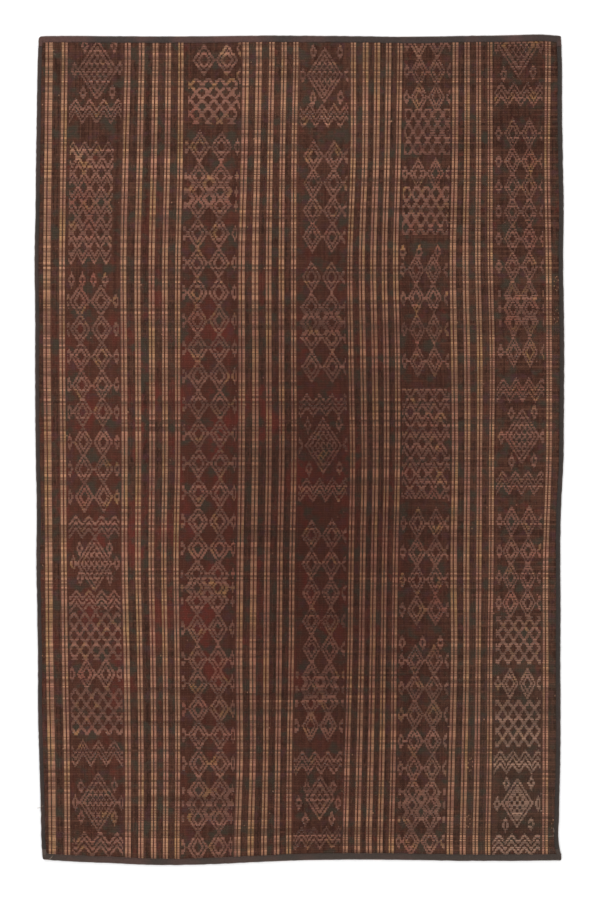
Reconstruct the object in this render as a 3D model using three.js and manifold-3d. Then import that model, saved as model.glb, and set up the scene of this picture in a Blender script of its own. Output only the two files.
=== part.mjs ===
// A flat floor mat: stiff reeds laid side by side across it, bound together by leather thongs that are woven
// through them along its length, with a strip of leather folded over each edge. It lies on the floor at z = 0.
// Millimetres, +Z up, +X across the mat, +Y along it, with the origin under the middle of its outer box.

import * as THREE from 'three';
import { mergeVertices } from 'three/addons/utils/BufferGeometryUtils.js';
import Module from 'manifold-3d';

const wasm = await Module();
wasm.setup();

// Driving dimensions
const THONG_PITCH = 5; // one leather thong to the next, across the mat
const FIELD_THICKNESS = 4.2; // a 2.6 mm reed with leather over and under it
const STRIPE_DEPTH = 0.8; // how far the bare reeds of a stripe lie below the leather
const STRIPE_FLANK = 0.9; // the sloping side of a stripe, where the outer thongs round off
const LEATHER = 1.2; // binding leather
const CLEARANCE = 0.3; // between the woven field and the leather folded round it, and at every joint
const FOLD_WALL = 2.3; // leather and air outside the field's cut edge, at the fold
const FOLD_ROUND = 2.2; // how far the fold rounds off in plan and in height
const END_BINDING_WIDTH = 24; // the strips over the two short edges
const SIDE_BINDING_WIDTH = { left: 15, right: 17 }; // the narrower strips along the two long edges
const TOP_LAP_LINE = 1470; // beyond this line the top strip is turned round the corners, over the side strips
const BOTTOM_LAP_LINE = -1458; // the same for the bottom strip
const RISE_END = 85; // this far in from its edge the field lies on the floor again
const RISE_START = 26; // from here outwards the field lies level on the leather under it

const EDGE_LIFT = LEATHER + CLEARANCE;
const BINDING_THICKNESS = EDGE_LIFT + FIELD_THICKNESS + CLEARANCE + LEATHER;
const FIELD_INSET = FOLD_WALL + CLEARANCE;

// The long edges wander: where the left and right one lie, at distances along the mat
const LONG_EDGES = [
  { along: -1498, left: -936, right: 956 },
  { along: -1480, left: -938, right: 955 },
  { along: -1452, left: -940, right: 949 },
  { along: -1316, left: -944, right: 948 },
  { along: -1133, left: -949, right: 952 },
  { along: -951, left: -954, right: 953 },
  { along: -768, left: -954, right: 952 },
  { along: -586, left: -957, right: 953 },
  { along: -403, left: -960, right: 952 },
  { along: -221, left: -958.5, right: 954.5 },
  { along: -38, left: -962, right: 963.5 },
  { along: 144, left: -964, right: 965.5 },
  { along: 326, left: -964.5, right: 966.5 },
  { along: 509, left: -964.5, right: 965 },
  { along: 691, left: -966.5, right: 962.5 },
  { along: 874, left: -963, right: 964.5 },
  { along: 1056, left: -961, right: 961.5 },
  { along: 1239, left: -958, right: 958.5 },
  { along: 1421, left: -955, right: 958 },
  { along: 1509, left: -951, right: 954 },
];

// The short edges: where the top and bottom one lie, at distances across the mat
const SHORT_EDGES = [
  { across: -942, top: 1509, bottom: -1494 },
  { across: -872, top: 1510.5, bottom: -1499.5 },
  { across: -690, top: 1509.5, bottom: -1507.5 },
  { across: -507, top: 1508.5, bottom: -1515 },
  { across: -325, top: 1509.5, bottom: -1512 },
  { across: -142, top: 1511.5, bottom: -1503.5 },
  { across: 40, top: 1511, bottom: -1496.5 },
  { across: 223, top: 1509.5, bottom: -1495 },
  { across: 405, top: 1507, bottom: -1496.5 },
  { across: 588, top: 1510.5, bottom: -1499.5 },
  { across: 770, top: 1512.5, bottom: -1499.5 },
  { across: 898, top: 1515, bottom: -1498.5 },
  { across: 953, top: 1510, bottom: -1498 },
];

// How round each corner is
const CORNERS = [
  { side: 'left', end: 'top', radius: 11 },
  { side: 'right', end: 'top', radius: 5 },
  { side: 'left', end: 'bottom', radius: 8 },
  { side: 'right', end: 'bottom', radius: 6 },
];

// A stripe is a pair of lines of bare reed with one thong between them. The number of that thong, counted from
// the left edge, and how many thongs wide the bare line on each side of it is
const STRIPES = [
  { thong: 5, bareLeft: 2, bareRight: 3 },
  { thong: 17, bareLeft: 3, bareRight: 2 },
  { thong: 62, bareLeft: 2, bareRight: 2 },
  { thong: 72, bareLeft: 2, bareRight: 2 },
  { thong: 82, bareLeft: 2, bareRight: 2 },
  { thong: 91, bareLeft: 2, bareRight: 2 },
  { thong: 100, bareLeft: 2, bareRight: 2 },
  { thong: 146, bareLeft: 2, bareRight: 2 },
  { thong: 156, bareLeft: 2, bareRight: 2 },
  { thong: 166, bareLeft: 2, bareRight: 2 },
  { thong: 175, bareLeft: 2, bareRight: 2 },
  { thong: 184, bareLeft: 2, bareRight: 2 },
  { thong: 226, bareLeft: 2, bareRight: 2 },
  { thong: 235, bareLeft: 2, bareRight: 2 },
  { thong: 243, bareLeft: 2, bareRight: 2 },
  { thong: 251, bareLeft: 2, bareRight: 2 },
  { thong: 259, bareLeft: 2, bareRight: 2 },
  { thong: 301, bareLeft: 2, bareRight: 2 },
  { thong: 310, bareLeft: 2, bareRight: 2 },
  { thong: 319, bareLeft: 2, bareRight: 2 },
  { thong: 328, bareLeft: 2, bareRight: 2 },
  { thong: 370, bareLeft: 2, bareRight: 2 },
];

// The thongs run a little crooked: where the middle of these ones lies, at distances along the mat
const THONG_RUNS = [
  { along: -1425, t5: -903, t62: -629, t100: -447, t146: -231, t184: -39, t226: 166, t259: 334, t301: 546, t328: 684, t370: 895 },
  { along: -1133, t5: -906, t62: -629, t100: -446, t146: -221, t184: -37, t226: 173, t259: 341, t301: 553, t328: 690, t370: 896 },
  { along: -768, t5: -912, t62: -630, t100: -447, t146: -221, t184: -31, t226: 181, t259: 341, t301: 560, t328: 689, t370: 896 },
  { along: -403, t5: -917, t62: -639, t100: -453, t146: -217, t184: -31, t226: 188, t259: 349, t301: 561, t328: 697, t370: 898 },
  { along: -38, t5: -919, t62: -638, t100: -447, t146: -212, t184: -23, t226: 194, t259: 356, t301: 566, t328: 696, t370: 910 },
  { along: 326, t5: -922, t62: -640, t100: -447, t146: -211, t184: -23, t226: 188, t259: 355, t301: 564, t328: 698, t370: 911 },
  { along: 691, t5: -923, t62: -643, t100: -449, t146: -213, t184: -24, t226: 183, t259: 350, t301: 561, t328: 693, t370: 905 },
  { along: 1056, t5: -920, t62: -637, t100: -440, t146: -205, t184: -23, t226: 193, t259: 356, t301: 566, t328: 693, t370: 900 },
  { along: 1421, t5: -916, t62: -628, t100: -437, t146: -199, t184: -16, t226: 194, t259: 363, t301: 568, t328: 692, t370: 903 },
];
const RUN_THONGS = [5, 62, 100, 146, 184, 226, 259, 301, 328, 370];

// Colours, as seen on the mat
const WOVEN_BROWN = 0x4f382f;
const SIDE_LEATHER = 0x3b3735;
const TOP_LEATHER = 0x4a403b;
const BOTTOM_LEATHER = 0x4a4339;

// A smooth reading of one column of a table between its rows
function column(table, by, name) {
  const spline = new THREE.CubicInterpolant(
    table.map((row) => row[by]),
    table.map((row) => row[name]),
    1,
  );
  return (at) => spline.evaluate(at)[0];
}

const sideEdge = { left: column(LONG_EDGES, 'along', 'left'), right: column(LONG_EDGES, 'along', 'right') };
const endEdge = { top: column(SHORT_EDGES, 'across', 'top'), bottom: column(SHORT_EDGES, 'across', 'bottom') };
const inward = { left: 1, right: -1, top: -1, bottom: 1 };
const thongRun = RUN_THONGS.map((number) => column(THONG_RUNS, 'along', `t${number}`));

// Where the mat's middle lines up across, used to place what follows an end edge
const NOMINAL_HALF_WIDTH = 960;

// Where a place counted in thongs lies across the mat, at a distance along it
function acrossOfThong(place, along) {
  const middle = place - 0.5;
  let next = RUN_THONGS.findIndex((number) => number >= middle);
  if (next <= 0) {
    next = middle < RUN_THONGS[0] ? 0 : RUN_THONGS.length - 1;
    return thongRun[next](along) + (middle - RUN_THONGS[next]) * THONG_PITCH;
  }
  const share = (middle - RUN_THONGS[next - 1]) / (RUN_THONGS[next] - RUN_THONGS[next - 1]);
  return THREE.MathUtils.lerp(thongRun[next - 1](along), thongRun[next](along), share);
}

// How far the field is lifted off the floor by the leather under its edge
function fieldLift(x, y) {
  const toEdge = Math.min(
    x - sideEdge.left(y),
    sideEdge.right(y) - x,
    endEdge.top(x) - y,
    y - endEdge.bottom(x),
  );
  const share = (RISE_END - toEdge) / (RISE_END - RISE_START);
  return EDGE_LIFT * THREE.MathUtils.clamp(share, 0, 1);
}

// A closed solid between a lower and an upper grid of points; each corner is [x, y, low z, high z]
function slab(corners) {
  const rows = corners.length;
  const columns = corners[0].length;
  const positions = corners.flat().flatMap(([x, y, low, high]) => [x, y, low, x, y, high]);
  const index = [];
  const low = (row, column) => 2 * (row * columns + column);
  const high = (row, column) => low(row, column) + 1;
  const quad = (a, b, c, d) => index.push(a, b, c, a, c, d);
  for (let r = 0; r < rows - 1; r++) {
    for (let c = 0; c < columns - 1; c++) {
      quad(high(r, c), high(r, c + 1), high(r + 1, c + 1), high(r + 1, c));
      quad(low(r, c), low(r + 1, c), low(r + 1, c + 1), low(r, c + 1));
    }
    quad(low(r, 0), high(r, 0), high(r + 1, 0), low(r + 1, 0));
    quad(low(r, columns - 1), low(r + 1, columns - 1), high(r + 1, columns - 1), high(r, columns - 1));
  }
  for (let c = 0; c < columns - 1; c++) {
    quad(low(0, c), low(0, c + 1), high(0, c + 1), high(0, c));
    quad(low(rows - 1, c), high(rows - 1, c), high(rows - 1, c + 1), low(rows - 1, c + 1));
  }
  return closed(positions, index);
}

// A closed solid from sections of equal length, each a ring of points that turns left seen from its far side
function loft(sections) {
  const sides = sections[0].length;
  const index = [];
  for (let s = 0; s < sections.length - 1; s++) {
    for (let k = 0; k < sides; k++) {
      const next = (k + 1) % sides;
      const a = s * sides + k;
      const b = s * sides + next;
      index.push(a, b, b + sides, a, b + sides, a + sides);
    }
  }
  const outline = sections[0].map(([n, z]) => new THREE.Vector2(n, z));
  const faces = THREE.ShapeUtils.triangulateShape(outline, []);
  const last = (sections.length - 1) * sides;
  for (const [a, b, c] of faces) {
    index.push(a, c, b);
    index.push(last + a, last + b, last + c);
  }
  return closed(sections.flatMap((section) => section.flatMap((point) => point[2])), index);
}

// A solid for cutting and joining, turned the right way out
function closed(positions, index) {
  const geometry = new THREE.BufferGeometry();
  geometry.setAttribute('position', new THREE.Float32BufferAttribute(positions, 3));
  geometry.setIndex(index);
  return solidOf(geometry);
}

function solidOf(geometry) {
  const bare = geometry.index ? geometry.clone() : mergeVertices(geometry);
  bare.deleteAttribute('normal');
  bare.deleteAttribute('uv');
  const merged = mergeVertices(bare);
  const triVerts = Uint32Array.from(merged.index.array);
  const vertProperties = Float32Array.from(merged.attributes.position.array);
  return new wasm.Manifold(new wasm.Mesh({ numProp: 3, vertProperties, triVerts }));
}

// Distances along and across at which the field's corners lie: from an edge near it, from the middle elsewhere
function stations(halfLength, innerCount) {
  const inner = halfLength - RISE_END;
  const list = [
    { from: -1, at: 0 },
    { from: -1, at: RISE_START },
    { from: -1, at: RISE_END },
  ];
  for (let k = 1; k < innerCount; k++) {
    list.push({ from: 0, at: inner * ((2 * k) / innerCount - 1) });
  }
  list.push({ from: 1, at: RISE_END }, { from: 1, at: RISE_START }, { from: 1, at: 0 });
  return list;
}

// The woven field as a plain sheet, grown by a margin all round when it stands for the room it needs
function fieldSheet(margin) {
  const columns = stations(NOMINAL_HALF_WIDTH, 4);
  const rows = stations(1500, 16);
  const place = (station, low, high, edgeInset) => {
    if (station.from === 0) return station.at;
    const inset = Math.max(station.at, edgeInset);
    return station.from < 0 ? low + inset : high - inset;
  };
  const inset = FIELD_INSET - margin;
  const corners = rows.map((row) =>
    columns.map((col) => {
      const roughX = place(col, -NOMINAL_HALF_WIDTH, NOMINAL_HALF_WIDTH, inset);
      const y = place(row, endEdge.bottom(roughX), endEdge.top(roughX), inset);
      const x = place(col, sideEdge.left(y), sideEdge.right(y), inset);
      const lift = fieldLift(x, y);
      return [x, y, lift - margin, lift + FIELD_THICKNESS + margin];
    }),
  );
  return slab(corners);
}

// The channel that a stripe of bare reeds makes in the face of the field
function stripeChannel({ thong, bareLeft, bareRight }) {
  const reach = [-1530, -1484, -1425, -1133, -768, -403, -38, 326, 691, 1056, 1421, 1484, 1530];
  const above = 3;
  const sections = reach.map((y) => {
    const left = acrossOfThong(thong - bareLeft, y);
    const right = acrossOfThong(thong + 1 + bareRight, y);
    const face = fieldLift((left + right) / 2, y) + FIELD_THICKNESS;
    const ring = [
      [left + STRIPE_FLANK, face - STRIPE_DEPTH],
      [right - STRIPE_FLANK, face - STRIPE_DEPTH],
      [right + STRIPE_FLANK, face + above],
      [left - STRIPE_FLANK, face + above],
    ];
    return ring.map(([x, z]) => [x, z, [x, y, z]]);
  });
  return turnedOut(sections);
}

function turnedOut(sections) {
  const solid = loft(sections);
  return solid.volume() > 0 ? solid : loft(sections.slice().reverse());
}

// Section of a binding strip: distance in from the mat's edge, and height
function stripSection(width) {
  const top = BINDING_THICKNESS;
  const shoulder = FOLD_ROUND * 0.3;
  return [
    [width, 0],
    [width, top - 0.4],
    [width - 3, top],
    [FOLD_ROUND, top],
    [shoulder, top - shoulder],
    [0, top - FOLD_ROUND],
    [0, FOLD_ROUND],
    [shoulder, shoulder],
    [FOLD_ROUND, 0],
  ];
}

function stripAlong(places, width, plan) {
  const section = stripSection(width);
  return turnedOut(places.map((at) => section.map(([n, z]) => [n, z, [...plan(at, n), z]])));
}

function spread(low, high, steps) {
  return Array.from({ length: steps + 1 }, (_, k) => THREE.MathUtils.lerp(low, high, k / steps));
}

// The leather along a long edge, and over a short edge, before they are fitted to each other and to the field
function sideStrip(side) {
  const x = sideEdge[side](0);
  const places = spread(endEdge.bottom(x) + FOLD_ROUND, endEdge.top(x) - FOLD_ROUND, 44);
  return stripAlong(places, SIDE_BINDING_WIDTH[side], (y, n) => [sideEdge[side](y) + inward[side] * n, y]);
}

function endStrip(end) {
  const y = end === 'top' ? 1500 : -1490;
  const places = spread(sideEdge.left(y) + FOLD_ROUND, sideEdge.right(y) - FOLD_ROUND, 32);
  return stripAlong(places, END_BINDING_WIDTH, (x, n) => [x, endEdge[end](x) + inward[end] * n]);
}

// A block that holds everything between two lines across the mat
function crossBlock(low, high) {
  const block = new THREE.BoxGeometry(2200, high - low, 40);
  block.translate(0, (low + high) / 2, 0);
  return solidOf(block);
}

// The waste outside a rounded corner
function cornerWaste({ side, end, radius }) {
  const y = endEdge[end](sideEdge[side](0));
  const x = sideEdge[side](y);
  const edgeY = endEdge[end](x);
  const sx = inward[side];
  const sy = inward[end];
  const outline = new THREE.Shape();
  outline.moveTo(-30, -30);
  outline.lineTo(radius, -30);
  outline.lineTo(radius, 0);
  outline.absarc(radius, radius, radius, -Math.PI / 2, -Math.PI, true);
  outline.lineTo(-30, radius);
  outline.closePath();
  const prism = new THREE.ExtrudeGeometry(outline, { depth: 40, bevelEnabled: false, curveSegments: 5 });
  prism.translate(0, 0, -20);
  const turned = solidOf(prism).scale([sx, sy, 1]);
  return turned.translate([x, edgeY, 0]);
}

const room = fieldSheet(CLEARANCE);
const waste = CORNERS.map(cornerWaste);
const reachOfBlock = 1600;
const topCorners = crossBlock(TOP_LAP_LINE, reachOfBlock);
const bottomCorners = crossBlock(-reachOfBlock, BOTTOM_LAP_LINE);
const between = crossBlock(BOTTOM_LAP_LINE + CLEARANCE, TOP_LAP_LINE - CLEARANCE);
const strips = { left: sideStrip('left'), right: sideStrip('right') };

function fitted(leather) {
  return waste.reduce((rest, corner) => rest.subtract(corner), leather.subtract(room));
}

// A short edge's leather with the laps that turn round its two corners
function endBinding(end, corners) {
  const laps = [strips.left, strips.right].map((strip) => strip.intersect(corners));
  return fitted(laps.reduce((leather, lap) => leather.add(lap), endStrip(end)));
}

function sideBinding(side) {
  return fitted(strips[side].intersect(between));
}

function wovenField() {
  return STRIPES.reduce((field, stripe) => field.subtract(stripeChannel(stripe)), fieldSheet(0));
}

function meshOf(name, solid, colour, roughness) {
  const { vertProperties, triVerts } = solid.getMesh();
  const geometry = new THREE.BufferGeometry();
  geometry.setAttribute('position', new THREE.BufferAttribute(vertProperties, 3));
  geometry.setIndex(new THREE.BufferAttribute(triVerts, 1));
  geometry.computeVertexNormals();
  const material = new THREE.MeshStandardMaterial({ color: colour, roughness, metalness: 0 });
  const mesh = new THREE.Mesh(geometry, material);
  mesh.name = name;
  return mesh;
}

const mat = new THREE.Group();
mat.name = 'reed_and_leather_mat';
mat.add(
  meshOf('woven_field', wovenField(), WOVEN_BROWN, 0.7),
  meshOf('binding_top_end', endBinding('top', topCorners), TOP_LEATHER, 0.6),
  meshOf('binding_bottom_end', endBinding('bottom', bottomCorners), BOTTOM_LEATHER, 0.6),
  meshOf('binding_left_side', sideBinding('left'), SIDE_LEATHER, 0.6),
  meshOf('binding_right_side', sideBinding('right'), SIDE_LEATHER, 0.6),
);

export default mat;
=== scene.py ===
import math

import bmesh
import bpy
import numpy as np
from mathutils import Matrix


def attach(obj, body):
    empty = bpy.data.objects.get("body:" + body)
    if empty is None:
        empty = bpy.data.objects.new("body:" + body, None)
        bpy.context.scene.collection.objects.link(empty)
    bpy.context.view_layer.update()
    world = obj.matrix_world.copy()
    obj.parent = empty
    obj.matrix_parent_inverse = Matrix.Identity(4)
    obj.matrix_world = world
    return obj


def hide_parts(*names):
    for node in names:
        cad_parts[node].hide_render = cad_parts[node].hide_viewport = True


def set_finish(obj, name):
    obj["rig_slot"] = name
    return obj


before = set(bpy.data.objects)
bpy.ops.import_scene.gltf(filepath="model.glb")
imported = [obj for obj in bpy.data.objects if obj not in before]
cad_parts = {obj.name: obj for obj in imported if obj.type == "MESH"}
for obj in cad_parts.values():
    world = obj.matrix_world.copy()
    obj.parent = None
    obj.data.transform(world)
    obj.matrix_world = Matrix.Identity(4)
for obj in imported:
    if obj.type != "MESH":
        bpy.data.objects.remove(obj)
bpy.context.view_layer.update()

bl_info = {
    "name": "Reed and leather floor mat",
    "version": (1, 0, 0),
    "blender": (4, 5, 0),
    "location": "3D View > Sidebar > Mat",
    "description": "Makes a long floor mat of reeds woven with leather thongs and bound in leather",
    "category": "Object",
}

MM = 0.001
THONGS = 379
ROWS = 351  # of a few reeds each, between two dips of the thongs
FIRST_ROW_EDGE = 1509.1  # mm along the mat, where the first row of reeds begins
LAST_ROW_EDGE = -1506.7  # and where the last one ends
ROW_PITCH = (FIRST_ROW_EDGE - LAST_ROW_EDGE) / ROWS
THONG_PITCH = 5.0  # mm, beyond the outermost places of THONG_RUNS
END_ROWS = 30  # this many rows follow the crooked end of the mat

# The long edges, in mm: distance along the mat, and where the left and the right edge lie
LONG_EDGES = (
    (-1498, -936, 956), (-1480, -938, 955), (-1452, -940, 949), (-1316, -944, 948), (-1133, -949, 952),
    (-951, -954, 953), (-768, -954, 952), (-586, -957, 953), (-403, -960, 952), (-221, -958.5, 954.5),
    (-38, -962, 963.5), (144, -964, 965.5), (326, -964.5, 966.5), (509, -964.5, 965), (691, -966.5, 962.5),
    (874, -963, 964.5), (1056, -961, 961.5), (1239, -958, 958.5), (1421, -955, 958), (1509, -951, 954),
)

# The short edges, in mm: distance across the mat, and where the top and the bottom edge lie
SHORT_EDGES = (
    (-942, 1509, -1494), (-872, 1510.5, -1499.5), (-690, 1509.5, -1507.5), (-507, 1508.5, -1515),
    (-325, 1509.5, -1512), (-142, 1511.5, -1503.5), (40, 1511, -1496.5), (223, 1509.5, -1495),
    (405, 1507, -1496.5), (588, 1510.5, -1499.5), (770, 1512.5, -1499.5), (898, 1515, -1498.5),
    (953, 1510, -1498),
)

# How far the whole outline lies to the right of these places, and below them, in mm
OUTLINE_RIGHT = 1.5
OUTLINE_DOWN = 1.5

# How round the corners are, in mm
CORNER_RADIUS = {("left", "top"): 11, ("right", "top"): 5, ("left", "bottom"): 8, ("right", "bottom"): 6}

# Where the middle of some thongs runs, in mm: distance along the mat, then a place across for each thong
RUN_THONGS = (5, 62, 100, 146, 184, 226, 259, 301, 328, 370)
THONG_RUNS = (
    (-1425, -902, -624, -446, -226, -38, 168, 335, 549, 687, 897),
    (-1133, -905, -624, -444, -216, -36, 175, 342, 556, 693, 898),
    (-768, -912, -629, -446, -219, -29, 185, 345, 565, 695, 899),
    (-403, -915, -637, -450, -215, -26, 190, 350, 563, 700, 899),
    (-38, -918, -637, -444, -210, -19, 195, 358, 568, 701, 911),
    (326, -922, -639, -444, -209, -20, 189, 358, 565, 704, 912),
    (691, -922, -642, -443, -210, -20, 185, 351, 560, 696, 910),
    (1056, -918, -634, -435, -200, -19, 197, 360, 568, 696, 905),
    (1421, -914, -625, -432, -194, -12, 198, 367, 570, 695, 908),
)

# Stripes: the single thong in the middle, how many thongs wide the bare line on its left and right is, and
# how far the outer thongs spread over them, in thongs (less than nothing where an outer thong is narrow)
STRIPES = (
    (5, 2, 3, 0.3, 0.3), (17, 2, 2, 0.3, 0.45), (62, 2, 2, 0.28, 0.23), (72, 2, 2, 0.58, 0.3),
    (82, 2, 2, 0.56, 0.36), (91, 1, 2, -0.16, 0.33), (100, 1, 2, -0.1, 0.43), (146, 2, 2, 0.06, 0.06),
    (156, 2, 2, 0.18, 0.11), (166, 1, 2, -0.35, 0.3), (175, 1, 2, -0.25, 0.26), (184, 1, 2, -0.3, 0.5),
    (226, 1, 2, -0.3, 0.36), (235, 1, 2, -0.35, 0.26), (243, 1, 2, -0.23, 0.13), (251, 1, 2, -0.16, 0.39),
    (259, 1, 2, -0.03, 0.3), (301, 2, 2, 0.53, 0.06), (310, 1, 2, -0.4, 0.24), (319, 1, 2, -0.35, 0.43),
    (328, 1, 2, -0.08, 0.39), (370, 2, 2, 0.58, 0.36),
)

# Where a stripe lies a little aside of its even place between the others: the thong, how far, in thongs
STRIPE_SHIFTS = ((5, 0), (17, -0.25), (62, 0), (82, -0.2), (91, 0), (156, 0), (166, -0.4), (175, 0), (226, 0),
                 (235, -0.5), (251, 0), (301, 0), (310, 0.2), (319, 0.35), (328, 0))

# The mat falls into striped groups and figured bands: name, first thong, whether it holds figures
ZONES = (
    ("left_stripes", 0, False),
    ("first_band", 20, True),
    ("second_stripes", 60, False),
    ("second_band", 103, True),
    ("third_stripes", 144, False),
    ("middle_band", 187, True),
    ("fourth_stripes", 224, False),
    ("fourth_band", 262, True),
    ("fifth_stripes", 299, False),
    ("fifth_band", 331, True),
    ("right_stripes", 368, False),
)

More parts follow.
